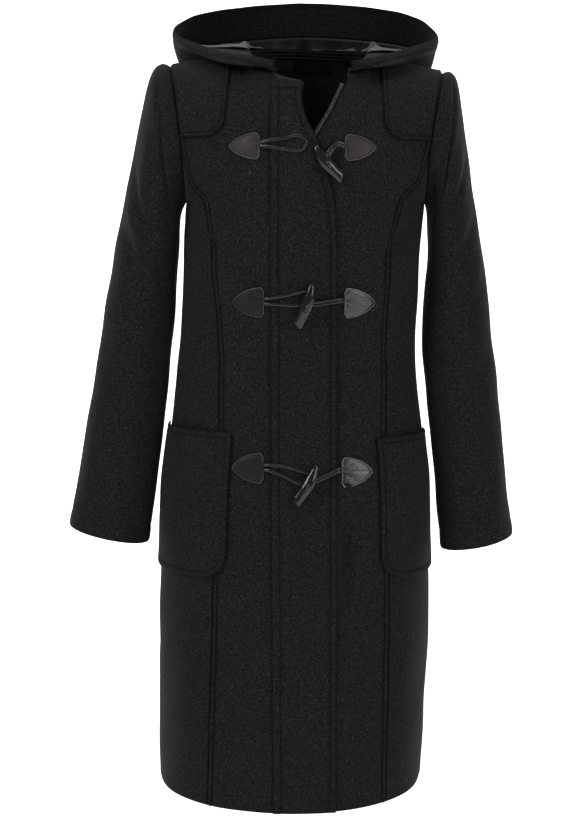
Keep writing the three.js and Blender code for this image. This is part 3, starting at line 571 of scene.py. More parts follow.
def cloth(name, face, normals, thickness, edges, extra=0.0, looped=False, material=None):
    """Makes a wall of cloth on a grid, with rounded and stitched edges, and returns it and its grid."""
    radius = min(EDGE_RADIUS, thickness * 0.46)
    rounding = np.zeros(face.shape[:2])
    # seams: painted light along the edges and stitch lines, stored as an attribute; the wool paints shade by
    # it, and the leather a highlight on its rim.
    seams = np.zeros(face.shape[:2])
    relief = np.zeros(face.shape[:2]) + extra
    for sides, kind in edges:
        distance = np.min([distance_to(face, border(face, side)) for side in sides], axis=0)
        down, form = edge_form(distance, kind, radius)
        rounding = np.minimum(rounding, down)
        relief = relief + form
        seams = np.maximum(seams, np.exp(-((distance / EDGE_SHADE) ** 2)))
        if kind[1]:
            seams = np.maximum(seams, 0.5 * np.exp(-(((distance - kind[1]) / STITCH_SHADE) ** 2)))
    outer = face + normals * (rounding + relief)[..., None]
    form = np.clip(relief, -FORM_LIMIT, FORM_LIMIT)
    under = form * FORM_INSIDE + (relief - form) + np.asarray(extra) * FOLD_INSIDE
    inner = face + normals * (-thickness - rounding + under)[..., None]
    vertices, faces = closed_wall(outer, inner, looped)
    made = mesh_piece(name, vertices, faces, material or wool)
    values = made.data.attributes.new("seams", "FLOAT", "POINT")
    values.data.foreach_set("value", np.concatenate([seams.ravel(), seams.ravel()]))
    return made, (face, normals, extra)


FOLD_STRENGTH = 1.6
UNEVEN_WAVES = 6
BODY_UNEVENNESS = 95


def folds(across, along, table):
    """Adds up soft ridges and troughs. Each row: start, end, width, height (below 0 for a trough), bow."""
    lift = np.zeros(np.broadcast(across, along).shape)
    for x0, y0, x1, y1, width, height, bow in table:
        run = math.hypot(x1 - x0, y1 - y0)
        cosine, sine = (x1 - x0) / run, (y1 - y0) / run
        share = ((across - x0) * cosine + (along - y0) * sine) / run
        aside = -(across - x0) * sine + (along - y0) * cosine - bow * 4 * share * (1 - share)
        taper = np.sin(np.clip(share, 0, 1) * np.pi) ** 0.8
        lift += height * taper * np.exp(-((aside / width) ** 2))
    return lift * FOLD_STRENGTH


def uneven(place, size, height, seed):
    """A faint unevenness that no cloth is without, from a few crossing waves."""
    lift = np.zeros(place.shape[:2])
    for number in range(UNEVEN_WAVES):
        angle = seed + number * 2.4
        tilt = 0.9 * math.sin(seed * 3 + number * 1.7)
        direction = np.array([math.cos(angle), math.sin(angle), tilt])
        turns = 2 * np.pi / (size * (0.7 + 0.23 * number))
        lift += np.sin(place @ direction * turns + seed * 5 + number * 1.3)
    return lift * height / 2.5


# The seams down the fronts, in the front view: z, the right seam's x and the left seam's x.
FRONT_SEAMS = ((-980, -130, 107), (-770, -124, 109), (-640, -120, 110), (-480, -113, 106), (-400, -113, 106),
               (-320, -117, 107), (-250, -124, 113), (-188, -133, 126))
# The front edges, closed under the placket and open in a V at the neck: z, the right edge's x, the left
# edge's x.
FRONT_EDGES = ((-980, -1, 1), (-118, -1, 2), (-104, -1, 14), (-70, -4, 34), (-30, -6, 54))


def front_seam(side, heights):
    """The turn of the curved seam on one side, up to the armhole."""
    read = smooth_reader(FRONT_SEAMS, 1 if side < 0 else 2)
    start = turn_at(np.array([0.0]), read)[0]
    upper = mix(start, side * 1.0, np.clip(heights / SIDE_TOP, 0, 1) ** 1.25)
    return np.where(heights <= 0, turn_at(np.minimum(heights, 0), read), upper)


def front_edge(side, heights):
    """The turn of the front edge on one side."""
    places = [row[0] for row in FRONT_EDGES]
    values = [row[1 if side < 0 else 2] for row in FRONT_EDGES]
    return turn_at(heights, lambda z: np.interp(z, places, values))


# Folds of the fronts, in the front view: start x and z, end x and z, width, height and bow.
FRONT_FOLDS = (
    (-158, -205, -96, -300, 11, -2.6, 8), (-150, -240, -70, -365, 16, 1.6, 10),
    (-138, -150, -120, -250, 9, -1.6, 3), (150, -200, 88, -300, 11, -2.8, -8),
    (140, -250, 62, -380, 15, 1.6, -10), (128, -150, 112, -240, 9, -1.4, -3),
    (-150, -400, -60, -372, 13, -1.5, -4), (140, -395, 58, -366, 12, -1.6, 4),
    (-140, -470, -70, -430, 16, 1.2, 5), (50, -585, 55, -725, 10, -6.0, 4), (48, -520, 60, -600, 9, 1.6, 3),
    (-98, -560, -80, -700, 18, -1.8, 5), (-150, -640, -158, -985, 24, 3.4, 6),
    (-112, -700, -96, -985, 20, -3.2, -6), (-70, -760, -66, -985, 24, 2.0, 4),
    (80, -700, 66, -985, 20, -3.2, 6), (128, -660, 138, -985, 22, 3.0, -6),
    (30, -720, 22, -985, 26, 1.6, 3), (-52, -360, -58, -470, 12, -1.2, 3),
    (62, -180, 76, -290, 14, -1.3, -4), (-72, -150, -84, -260, 16, -1.3, 4),
)
CENTRE_NEAR = (0, 0.3, 0.8, 1.4, 2.4, 3.4, 4.4, 5.0, 5.5, 6.0, 6.5, 7.2, 9)
SIDE_NEAR = (0, 0.3, 0.8, 1.4, 3)
CENTRE_COLUMNS = 26
SIDE_COLUMNS = 16
panels = {}


def body_panel(name, part, rows, seams, near, count, edges, table, height, seed):
    """Makes one panel of the body between two seams, with its folds."""
    turns = columns_between(part, rows, *seams, *near, count)
    heights = np.repeat(rows[:, None], turns.shape[1], axis=1)
    face = body(part, turns, heights)
    extra = folds(face[..., 0], face[..., 2], table) + uneven(face, BODY_UNEVENNESS, height, seed)
    made = cloth(f"{name}_cloth", face, body_normal(part, turns, heights), WOOL_THICK, edges, extra)
    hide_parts(name)
    panels[name] = made
    return made[0]


for side, word in SIDES:
    seam = front_seam(side, body_heights)
    edge = front_edge(side, body_heights)
    seams = (seam, edge) if side < 0 else (edge, seam)
    near = (CENTRE_NEAR, SIDE_NEAR) if side < 0 else (SIDE_NEAR, CENTRE_NEAR)
    seam_side, edge_side = ("left", "right") if side < 0 else ("right", "left")
    edges = (((seam_side,), SEAM_RIDGE), ((edge_side, "bottom", "top"), TURNED))
    panel = body_panel(f"front_centre_{word}", "front", body_heights, seams, near, CENTRE_COLUMNS, edges,
                       FRONT_FOLDS, 0.7, 1.0 + side)
    0.138 if side < 0 else 0.126

    rows = body_heights[body_heights < SIDE_TOP - 0.015]
    seam = front_seam(side, rows)
    outside = np.full_like(seam, side)
    seams = (outside, seam) if side < 0 else (seam, outside)
    panel = body_panel(f"front_side_{word}", "front", rows, seams, (SIDE_NEAR, SIDE_NEAR), SIDE_COLUMNS,
                       ALL_TURNED, FRONT_FOLDS, 0.7, 1.0 + side)
    0.112 if side < 0 else 0.101

# The back: two halves joined down the centre, with the same soft folds below the waist. It doesn't show in
# the photo.
BACK_COLUMNS = 40
BACK_FOLDS = (
    (-150, -205, -92, -310, 12, -2.6, 8), (148, -200, 90, -315, 12, -2.6, -8),
    (-140, -400, -40, -378, 14, -2.0, -5), (130, -396, 36, -372, 13, -2.0, 5),
    (-60, -330, 60, -345, 15, -1.6, -6), (-90, -430, 70, -418, 12, -1.4, 5),
    (-120, -640, -128, -985, 22, -3.4, 5), (-60, -600, -66, -985, 26, 3.2, 5),
    (55, -620, 62, -985, 26, 3.2, -5), (110, -640, 116, -985, 22, -3.4, -4),
    (0, -480, 0, -900, 30, -2.0, 2), (-30, -120, -70, -260, 18, -1.4, 4),
    (40, -120, 72, -250, 18, -1.4, -4),
)
for side, word in SIDES:
    centre = np.zeros_like(body_heights)
    outside = np.full_like(body_heights, side)
    seams = (outside, centre) if side < 0 else (centre, outside)
    near = (SIDE_NEAR, CENTRE_NEAR) if side < 0 else (CENTRE_NEAR, SIDE_NEAR)
    seam_side, edge_side = ("right", "left") if side < 0 else ("left", "right")
    edges = (((seam_side,), SEAM_RIDGE), ((edge_side, "bottom", "top"), TURNED))
    panel = body_panel(f"back_{word}", "back", body_heights, seams, near, BACK_COLUMNS, edges, BACK_FOLDS,
                       0.8, 3.0 + side)

# The sleeves: one tube each, set into the armhole with a little fullness at its head, and hanging with a
# slight outward flare. The cuff is turned in and stitched 21 mm above its edge.
# Stations from the armhole down: number, outer x and z, inner x and z, front y, back y, and scoop of the
# middle.
SLEEVES = {
    -1: ((0, -181, -7, -161, -188, -74, 86, 5.5), (1, -192, -4, -166, -198, -78, 89, 3),
         (2, -205, -16, -168.5, -209, -79, 88, 0), (3, -217, -60, -170, -224, -76, 83, 0),
         (4, -228, -112, -171, -244, -71, 77, 0), (5, -242, -174, -173, -272, -66, 71, 0),
         (6, -255, -240, -175, -308, -62, 65, 0), (7, -270, -318, -180, -358, -61, 58, 0),
         (8, -283, -396, -186, -428, -62, 54, 0), (9, -297, -478, -195, -505, -64, 49, 0),
         (10, -311, -555, -205, -580, -66, 44, 0), (11, -324, -627, -215, -651, -68, 40, 0)),
    1: ((0, 184, -16, 161, -188, -74, 86, -5.5), (1, 194, -14, 165, -198, -78, 89, -3),
        (2, 204, -28, 166.5, -209, -79, 88, 0), (3, 210, -68, 167, -224, -76, 83, 0),
        (4, 217, -114, 167, -244, -71, 77, 0), (5, 227, -176, 166, -272, -66, 71, 0),
        (6, 238, -242, 163, -308, -62, 65, 0), (7, 249, -320, 160, -358, -61, 58, 0),
        (8, 259, -400, 164, -430, -62, 54, 0), (9, 268, -484, 173, -508, -64, 49, 0),
        (10, 277, -566, 180, -586, -66, 44, 0), (11, 286, -640, 187, -660, -68, 40, 0)),
}
LAST_STATION = 11


def sleeve_surface(side):
    """A function that gives the sleeve's outer face at an angle round it and a station along it."""
    readers = [smooth_reader(SLEEVES[side], column) for column in range(1, 8)]
    out_x, out_z, in_x, in_z, front, back, scoop = readers

    def surface(angle, at):
        angle, at = np.broadcast_arrays(np.asarray(angle, float), np.asarray(at, float))
        at = np.clip(at, 0, LAST_STATION)
        x = (out_x(at) + in_x(at)) / 2 + scoop(at)
        y = (front(at) + back(at)) / 2
        z = (out_z(at) + in_z(at)) / 2
        rails = {"top": spot(out_x(at), y, out_z(at)), "under": spot(in_x(at), y, in_z(at)),
                 "front": spot(x, front(at), z), "back": spot(x, back(at), z)}
        share = np.minimum(1, at)[..., None]
        for rail in rails:
            rails[rail] = mix(armhole(rail, np.full(at.shape, side)), rails[rail], share)
        return ring(rails, angle)

    return surface


# Folds of the sleeves, unrolled: start and end as millimetres round from the outer line (front above 0) and
# millimetres down from the shoulder, then width, height and bow.
SLEEVE_FOLDS = {
    -1: ((30, 60, 120, 150, 12, -2.4, 6), (70, 110, 150, 190, 11, -2.2, 5),
         (-40, 90, -120, 180, 12, -2.4, -5), (20, 250, 110, 300, 13, -2.6, 8),
         (35, 300, 120, 330, 11, 2.0, 8), (10, 330, 105, 380, 12, -2.6, -8),
         (-30, 280, -120, 330, 13, -2.6, 8), (-20, 360, -110, 395, 12, -2.2, -6),
         (30, 430, 95, 520, 16, -1.8, 6), (-40, 450, -90, 560, 16, -1.8, 5), (60, 180, 75, 300, 16, 1.6, 4),
         (45, 520, 60, 640, 16, 1.6, 4)),
    1: ((25, 70, 115, 165, 12, -2.6, 6), (60, 130, 145, 205, 11, -2.0, -5), (-45, 80, -125, 170, 12, -2.4, 5),
        (15, 240, 115, 280, 12, -2.4, -8), (25, 310, 120, 350, 13, -2.8, 8),
        (20, 350, 100, 400, 11, 1.8, 7), (-30, 270, -120, 315, 13, -2.4, 8),
        (-20, 350, -115, 400, 12, -2.4, -6), (25, 450, 90, 540, 16, -1.8, -6),
        (-45, 440, -95, 540, 16, -1.8, 5), (65, 190, 70, 300, 16, 1.6, 4), (50, 530, 62, 645, 16, 1.4, 4)),
}
SLEEVE_COLUMNS = 110
CUFF_STITCHES = 21
CUFF_DIP = 0.9
CUFF_DIP_WIDTH = 1.6
CUFF_RISE = 0.5
CUFF_ROUNDING = 6
CUFF_FLAT = 14
ARMHOLE_GAP = 0.3
MM_A_STATION = 59.0
SLEEVE_RADIUS = 56
sleeve_rows = np.concatenate([[0, 0.005, 0.013, 0.024, 0.045], np.linspace(0.09, 10.9, 158),
                              [10.93, 10.95, 10.976, 10.987, 10.995, 11]])
around = np.linspace(0, 2 * np.pi, SLEEVE_COLUMNS, endpoint=False)
for side, word in SIDES:
    surface = sleeve_surface(side)
    angles = around[None, :] + np.zeros((len(sleeve_rows), 1))
    at = sleeve_rows[:, None] + np.zeros((1, SLEEVE_COLUMNS))
    face = surface(angles, at)
    face[0, :, 0] += side * ARMHOLE_GAP
    small = 0.002
    steady = np.clip(at, 0.05, LAST_STATION)
    round_it = surface(angles + small, steady) - surface(angles - small, steady)
    down = surface(angles, steady) - surface(angles, steady - small)
    normals = unit(np.cross(round_it, down)) * side
    turned = (angles + np.pi) % (2 * np.pi) - np.pi
    extra = folds(turned * SLEEVE_RADIUS, at * MM_A_STATION, SLEEVE_FOLDS[side])
    extra += uneven(face, 80, 0.7, 5.0 + side)
    extra *= smooth(at, 0.1, 1.2)
    cuff = distance_to(face, border(face, "top"))
    extra -= CUFF_DIP * np.exp(-((cuff - CUFF_STITCHES) / CUFF_DIP_WIDTH) ** 2)
    extra += CUFF_RISE * smooth(cuff, 0, CUFF_ROUNDING) * (1 - smooth(cuff, CUFF_FLAT, CUFF_STITCHES))
    sleeve, _ = cloth(f"sleeve_{word}_cloth", face, normals, WOOL_THICK,
                      ((("bottom", "top"), TURNED),), extra, looped=True)
    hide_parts(f"sleeve_{word}")
    0.195 if side < 0 else 0.187

# The placket: a flap over the front edges, from its squared tab at the neck to the hem. Its left edge is
# seamed with a wide stitched welt, and its right edge is free, turned and stitched.
# Levels of the placket: z, left edge x and right edge x.
PLACKET = ((-987.5, -43, 40), (-640, -45, 41), (-300, -46, 41), (-190, -46, 37), (-112, -46, 17),
           (-80, -46, 1), (-55, -45, -5), (-36, -45, -2))
PLACKET_GAP = 0.9
PLACKET_LOWEST = -987.5
PLACKET_TOP = -36
PLACKET_FULL = 36
PLACKET_SINK = -0.6
WELT = (1.1, 11.5)
FREE_EDGE = (0.5, 9.0)
PLACKET_FOLDS = (
    (-20, -140, 10, -260, 14, 1.2, 4), (20, -200, 28, -320, 10, -1.2, 3), (-28, -360, 24, -420, 16, -1.0, 4),
    (8, -560, 14, -760, 16, -1.6, 4), (-22, -620, -18, -900, 18, 1.4, 3), (30, -600, 26, -980, 14, 1.4, 2),
)


def over(x, z, lift):
    """Points at front-view places, lifted off the body's face, and the outward directions there."""
    turn, height = find(x, z)
    normal = body_normal("front", turn, height)
    return body("front", turn, height) + normal * np.asarray(lift, float)[..., None], normal


placket_levels = np.concatenate([PLACKET_LOWEST + np.array(EDGE_STEPS), np.arange(-983, -46, 5.0),
                                 PLACKET_TOP - np.array((9.2, 7.6, 6.6, 6, 5.4, 4.4, 2.6, 1.4, 0.8, 0.3, 0))])
placket_left = smooth_reader(PLACKET, 1)(placket_levels)
placket_right = smooth_reader(PLACKET, 2)(placket_levels)
near_left = np.array((0, 0.3, 0.8, 1.4, 2.6, 4.5, 6.5, 8.5, 10, 10.8, 11.5, 12.2, 13))
near_right = np.array((9.8, 9.0, 8.2, 7.2, 5, 2.6, 1.4, 0.8, 0.3, 0))
inside = np.linspace(0, 1, 14)[1:-1]
width = (placket_right - placket_left)[:, None]
squeeze = np.minimum(1, width / PLACKET_FULL)
middle_part = mix(near_left[-1] * squeeze, width - near_right[0] * squeeze, inside)
from_left = np.concatenate([near_left * squeeze, middle_part,
                            width - near_right * squeeze], axis=1)
x_grid = placket_left[:, None] + from_left
z_grid = placket_levels[:, None] + np.zeros_like(x_grid)
face, normals = over(x_grid, z_grid, np.full_like(x_grid, PLACKET_GAP + OVERLAY_THICK))
extra = folds(x_grid, z_grid, PLACKET_FOLDS) + 0.5 * uneven(face, 90, 0.7, 2.0)
edges = ((("left",), WELT), (("right", "top"), FREE_EDGE), (("bottom",), TURNED))
placket = cloth("placket_cloth", face, normals, OVERLAY_THICK, edges, np.maximum(extra, PLACKET_SINK))
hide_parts("placket")

# The yokes: a second layer on each shoulder front, from the neck to the armhole. The free lower edge is
# turned, with a rounded corner towards the neck, and stitched near the edge, so that it stands up as a
# ridge.
YOKE_GAP = 1.1
NEARLY = 0.985
YOKE_FOLDS = 0.8
YOKE_RIDGE = (1.1, 6.0)
# Each side: the x of the inner edge, the z of the lower edge and the corner's radius.
YOKES = {-1: (-98, -104, 26), 1: (98, -108, 26)}


def corner_raise(across, radius):
    """How far a lower edge has risen, at a distance from the inner edge, to turn a rounded corner."""
    reach = np.clip(across / radius, 0, 1)
    return radius * (1 - np.sqrt(np.clip(1 - (1 - reach) ** 2, 0, 1)))


def left_to_right(side, *grids):
    """Turns round the grids of the right side, so that their columns run from left to right."""
    return [grid[:, ::-1] for grid in grids] if side < 0 else grids


yokes = {}
for side, word in SIDES:
    inside_x, low, radius = YOKES[side]
    start = abs(turn_at(np.array([0.75]), lambda _z: inside_x)[0])
    shares = np.concatenate([[0, 0.004, 0.01, 0.018], np.linspace(0.03, 1, 58)])
    turns = side * mix(start, NEARLY, shares)
    across = np.abs(body("front", turns, np.full_like(turns, 0.6))[:, 0] - inside_x)
    target = low + corner_raise(across, radius)
    foot = bisect(np.full_like(turns, -2.0), np.ones_like(turns),
                  lambda half: body("front", turns, half)[..., 2] < target)
    levels = np.concatenate([[0, 0.003, 0.008, 0.014], np.linspace(0.025, 1, 66)])[:, None]
    heights = mix(foot[None, :], NEARLY, levels)
    turns = turns[None, :] + np.zeros_like(heights)
    normals = body_normal("front", turns, heights)
    face = body("front", turns, heights) + normals * (YOKE_GAP + OVERLAY_THICK)
    extra = YOKE_FOLDS * folds(face[..., 0], face[..., 2], FRONT_FOLDS) + uneven(face, 60, 0.35, 7.0 + side)
    face, normals, extra = left_to_right(side, face, normals, extra)
    inner_side = "right" if side < 0 else "left"
    outer_side = "left" if side < 0 else "right"
    edges = (((inner_side, "bottom"), YOKE_RIDGE), ((outer_side, "top"), TURNED))
    yokes[side] = cloth(f"yoke_{word}_cloth", face, normals, OVERLAY_THICK, edges, extra)
    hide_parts(f"yoke_{word}")

# The patch pockets: wide flat pockets from the front seam round to the side seam, their lower inner corners
# rounded, stitched all round 8 mm from the edge. Their tops stand a little open.
POCKET_GAP = 1.2
POCKET_MIDDLE = -580
POCKET_GAPE = 3.0
POCKET_SINK = -0.8
POCKET_RIDGE = (1.1, 8.0)
# Each side: the x of the inner edge, the z of the top and of the bottom, and the corner's radius.
POCKETS = {-1: (-101, -486, -680, 34), 1: (97, -495, -684, 34)}
POCKET_FOLDS = {
    -1: ((-110, -560, -180, -520, 16, 1.4, 5), (-170, -500, -150, -640, 18, -1.6, 5),
         (-120, -640, -170, -600, 14, -1.4, 4)),
    1: ((108, -560, 160, -530, 16, 1.4, -5), (140, -505, 128, -650, 16, -1.6, -5),
        (112, -645, 150, -610, 14, -1.4, 4)),
}
pockets = {}
for side, word in SIDES:
    inside_x, top, bottom, radius = POCKETS[side]
    start = abs(turn_at(np.array([(POCKET_MIDDLE - ARMPIT) / 100]), lambda _z: inside_x)[0])
    shares = np.concatenate([[0, 0.003, 0.008, 0.014], np.linspace(0.022, 0.98, 72),
                             [0.987, 0.992, 0.997, 1]])
    turns = side * mix(start, NEARLY, shares)
    level = np.full_like(turns, -4.0)
    across = np.abs(body("front", turns, level)[:, 0] - body("front", turns[:1], level[:1])[0, 0])
    foot = bottom + corner_raise(across, radius)
    levels = np.concatenate([[0, 0.002, 0.005, 0.008], np.linspace(0.014, 0.984, 110),
                             [0.992, 0.995, 0.998, 1]])
    levels = levels[:, None]
    z_grid = mix(foot[None, :], top, levels)
    turns = turns[None, :] + np.zeros_like(z_grid)
    heights = (z_grid - ARMPIT) / 100
    normals = body_normal("front", turns, heights)
    face = body("front", turns, heights) + normals * (POCKET_GAP + OVERLAY_THICK)
    extra = folds(face[..., 0], face[..., 2], POCKET_FOLDS[side]) + uneven(face, 70, 0.4, 9.0 + side)
    extra += POCKET_GAPE * np.sin(shares * np.pi)[None, :] * smooth(levels, 0.6, 1.0)
    extra = np.maximum(extra, POCKET_SINK)
    face, normals, extra = left_to_right(side, face, normals, extra)
    pockets[side] = cloth(f"pocket_{word}_cloth", face, normals, OVERLAY_THICK,
                          ((ALL_SIDES, POCKET_RIDGE),), extra)
    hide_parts(f"pocket_{word}")
    (0.185, 0.195) if side < 0 else (0.155, 0.19)
    0.0325 if side < 0 else 0.0271

# The hood: two halves joined down the middle, laid open behind the neck, so that it falls back from the
# neck seam, folds and rises again to its wide rim.
# Points of the section at each share, from the right front end at -1 to the left front end at 1: low, deep,
# high, rim.
HOOD = (
    (-1, (-39, -92, -19), (-40, -96, -18), (-41, -99, -14), (-40, -97, -6)),
    (-0.75, (-80, -70, -3), (-108, -74, -12), (-136, -64, -10), (-118, -47, 13)),
    (-0.5, (-112, 20, 20), (-150, 28, 8), (-188, 34, 6), (-177, 26, 41)),
    (-0.25, (-82, 108, 8), (-108, 140, -105), (-176, 190, -95), (-138, 108, 75)),
    (0, (4, 150, 2), (4, 165, -190), (4, 265, -190), (-3, 155, 93)),
    (0.25, (90, 108, 4), (116, 140, -107), (180, 190, -97), (134, 108, 75)),
    (0.5, (120, 20, 15), (156, 28, 3), (189, 34, 1), (178, 26, 36)),
    (0.75, (88, -70, -8), (112, -74, -16), (138, -64, -14), (120, -47, 10)),
    (1, (56, -88, -21), (58, -92, -20), (60, -96, -16), (58, -95, -8)),
)
SEAM_RAISE = 2.4
HOOD_ENDS = (0.12, 0.15)
FACING_WIDTH = 48
FULL_SECTION = 150
hood_readers = [[smooth_reader([(row[0], row[part][axis]) for row in HOOD], 1) for axis in range(3)]
                for part in (1, 2, 3, 4)]


def hood_seam(share):
    """The neck seam of the hood, just above the necklines."""
    side = np.where(share < 0, -1, 1)
    along = np.abs(share) * 2
    end = np.where(side < 0, HOOD_ENDS[0], HOOD_ENDS[1])
    turn = np.where(along <= 1, along * NECK_SHARE, mix(NECK_SHARE, end, along - 1))
    turn = side * np.minimum(turn, NECK_SHARE - 0.0001)
    place = np.where((along <= 1)[..., None], top_edge("back", turn), top_edge("front", turn))
    place[..., 2] += SEAM_RAISE
    return place


def hood_face(share, rise):
    """The outer face of the hood at a share round it and a rise from its neck seam to its rim."""
    share, rise = np.broadcast_arrays(np.asarray(share, float), np.asarray(rise, float))
    low, deep, high, rim = (np.stack([read(share) for read in part], axis=-1) for part in hood_readers)
    t = rise[..., None]
    left = 1 - t
    return (hood_seam(share) * left**4 + low * 4 * left**3 * t + deep * 6 * left**2 * t**2
            + high * 4 * left * t**3 + rim * t**4)


def hood_normal(share, rise):
    """The outward direction of the hood's outer face."""
    small = 0.003
    inside = np.clip(share, -0.99, 0.99)
    rise = np.maximum(rise, 0.01)
    across = hood_face(inside + small, rise) - hood_face(inside - small, rise)
    up = hood_face(inside, rise) - hood_face(inside, rise - small)
    return -unit(np.cross(across, up))


def hood_rises(shares, from_rim, rest):
    """Rises of rows at distances from the rim, and then at shares of the rest of the way to the neck seam."""
    t = np.linspace(1, 0, 161)
    rises = np.empty((len(rest), len(shares)))
    for index, share in enumerate(shares):
        places = hood_face(np.full_like(t, share), t)
        length = length_along(places)
        squeeze = min(1.0, length[-1] / FULL_SECTION)
        wanted = from_rim * squeeze + (length[-1] - FACING_WIDTH * squeeze) * rest
        rises[:, index] = np.interp(wanted, length, t)
    return rises


def hood_grid(shares, from_rim, rest, lift):
    """Points and outward directions of rows and columns of the hood, lifted off its outer face."""
    rises = hood_rises(shares, from_rim, rest)
    across = np.asarray(shares)[None, :] + np.zeros_like(rises)
    normals = hood_normal(across, rises)
    return hood_face(across, rises) + normals * lift, normals, across, rises


RIM_EDGE = (0.8, 12.0)
RIM_NEAR = (0, 0.3, 0.8, 1.4, 2.6, 4.5, 6.5, 8.5, 10.3, 11.2, 12, 12.8, 13.7)
rim_rows = np.concatenate([RIM_NEAR, np.arange(17, FACING_WIDTH, 4)])
from_rim = np.concatenate([rim_rows, np.full(62, FACING_WIDTH)])
rest = np.concatenate([np.zeros(len(rim_rows)), np.linspace(0.012, 0.985, 57),
                       [0.99, 0.994, 0.997, 0.999, 1.0]])
hood_halves = {}
for side, word in SIDES:
    steps = np.concatenate([[0, 0.0007, 0.002, 0.0035, 0.006], np.linspace(0.013, 0.985, 74),
                            [0.99, 0.994, 0.998, 1]])
    shares = np.sort(side * steps)
    face, normals, across, rises = hood_grid(shares, from_rim, rest, 0)
    extra = uneven(face, 85, 1.0, 11.0 + side)
    middle_side = "right" if side < 0 else "left"
    end_side = "left" if side < 0 else "right"
    edges = ((("bottom",), RIM_EDGE), ((middle_side, end_side, "top"), TURNED))
    hood_halves[side] = cloth(f"hood_{word}_cloth", face, normals, WOOL_THICK, edges, extra)
    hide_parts(f"hood_{word}")

# The hood's facing: a strip of the same wool inside the rim, stitched to it along its edge.
FACING_GAP = 0.2
FACING_THICK = 2.0
facing_rows = np.concatenate([(2.5, 2.8, 3.3, 3.9, 5), np.arange(8, 46, 3.0), (47, 47.5, 47.8, 48)])
facing_shares = np.linspace(-0.62, 0.62, 140)
face, normals, across, rises = hood_grid(facing_shares, facing_rows, np.zeros(len(facing_rows)),
                                         -WOOL_THICK - FACING_GAP)
facing = cloth("hood_facing_cloth", face - normals * FACING_THICK, -normals, FACING_THICK, ALL_TURNED,
               np.abs(uneven(face, 70, 0.8, 13.0)))
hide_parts("hood_facing")

# The hood's lining: thin satin, wider than the space it lies in, so that it bunches into crumpled folds.
SATIN_THICK = 1.0
INSIDE_HOOD = -WOOL_THICK - 1.9
LINING_ROWS = 90
PUFF = 5.0


def satin_finish(name, dark, light):
    """Dark satin, glossier along its threads."""
    made, shader, here = new_finish(name, {"Roughness": 0.5, "Specular IOR Level": 0.2})
    clouds = here.noise(30, 3.0)
    threads = here.noise(900, 2.0, 0.5, (1, 1, 0.15))
    connect(shader, "Base Color", clouds.spread(0.3, 0.7).blend(dark, light))
    connect(shader, "Roughness", 0.42 + threads * 0.16)
    add_relief(shader, threads * 0.3 + clouds * 0.7, 0.0012, 0.5)
    return made


satin = satin_finish("satin lining", (0.0028, 0.0028, 0.0034, 1), (0.0060, 0.0060, 0.0072, 1))
# The neck lining is the same satin as the hood's, given a dark colour of its own as painted shade for the
# shadow inside the neck.
satin_painted_shade = satin_finish("neck lining", (0.003, 0.003, 0.0037, 1), (0.007, 0.007, 0.0085, 1))
lining_from = np.full(LINING_ROWS, FACING_WIDTH + 0.5)
lining_rest = np.linspace(0.0, 0.985, LINING_ROWS)
lining_shares = np.linspace(-0.6, 0.6, 280)
face, normals, across, rises = hood_grid(lining_shares, lining_from, lining_rest, INSIDE_HOOD)
bunch = np.zeros(face.shape[:2])
# Each crumple: wavelength and height in millimetres, its direction and where it starts.
CRUMPLES = ((62, 3.2, 0.3, 0.4), (41, 2.6, 1.3, 1.9), (27, 1.7, -0.6, 3.1), (17, 0.9, 2.0, 0.8))
for size, height, angle, start in CRUMPLES:
    bend = 1.3 * np.sin(face[..., 0] / 19 + start * 3)
    bend += 1.1 * np.sin((face[..., 1] - face[..., 2]) / 23 + start)
    ahead = face[..., 0] * math.cos(angle) + (face[..., 1] + face[..., 2]) * math.sin(angle)
    wave = np.sin(ahead * np.pi / size + bend + start)
    bunch += height * np.clip(1 - np.sqrt(wave**2 + 0.03), 0, 1) ** 1.3
inside_rest = lining_rest[:, None]
puff = PUFF * smooth(inside_rest, 0.45, 0.75) * (1 - smooth(inside_rest, 0.9, 0.985))
bunch = (bunch + puff) * (1 - 0.8 * smooth(np.abs(across), 0.36, 0.56))
bunch *= smooth(inside_rest, 0, 0.06) * (1 - smooth(inside_rest, 0.95, 0.985))
hood_lining = cloth("hood_lining_cloth", face - normals * SATIN_THICK, -normals, SATIN_THICK,
                    ALL_TURNED, bunch, material=satin)
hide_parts("hood_lining")

# The back neck lining, with its seam down the centre, and the blank woven label sewn on it.
LINING_LIFT = -WOOL_THICK - 0.7
lining_heights = np.concatenate([[0.33, 0.334, 0.34], np.linspace(0.35, 0.98, 70), [0.985, 0.99]])
turns = np.linspace(-NECK_SHARE, NECK_SHARE, 111)[None, :] + np.zeros((len(lining_heights), 1))
heights = lining_heights[:, None] + np.zeros_like(turns)
normals = body_normal("back", turns, heights)
face = body("back", turns, heights) + normals * (LINING_LIFT - SATIN_THICK)
extra = 1.2 * np.exp(-((turns - 0.012) / 0.01) ** 2) - 0.4 * np.exp(-((turns - 0.03) / 0.008) ** 2)
extra = extra + np.abs(uneven(face, 45, 0.8, 15.0))
neck_lining = cloth("neck_lining_cloth", face, -normals, SATIN_THICK, ALL_TURNED,
                    extra, material=satin_painted_shade)
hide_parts("neck_lining")

# The label: the x of its two ends, then the z of its lower and upper edge.
LABEL = (-15, 36, -7, 9)
LABEL_GAP = 1.9
LABEL_THICK = 0.8


def label_finish(name):
    """Black woven ribbon, with fine ribs across it."""
    made, shader, here = new_finish(name, {"Roughness": 0.7, "Specular IOR Level": 0.12})
    ribs = here.node("ShaderNodeTexWave", {"wave_type": "BANDS", "bands_direction": "Z"},
                     {"Vector": here, "Scale": 400.0, "Distortion": 0.4})
    colour = ribs.spread(0.2, 0.8).blend((0.0006, 0.0006, 0.0007, 1), (0.0016, 0.0016, 0.0018, 1))
    connect(shader, "Base Color", colour)
    add_relief(shader, ribs, 0.0002)
    return made


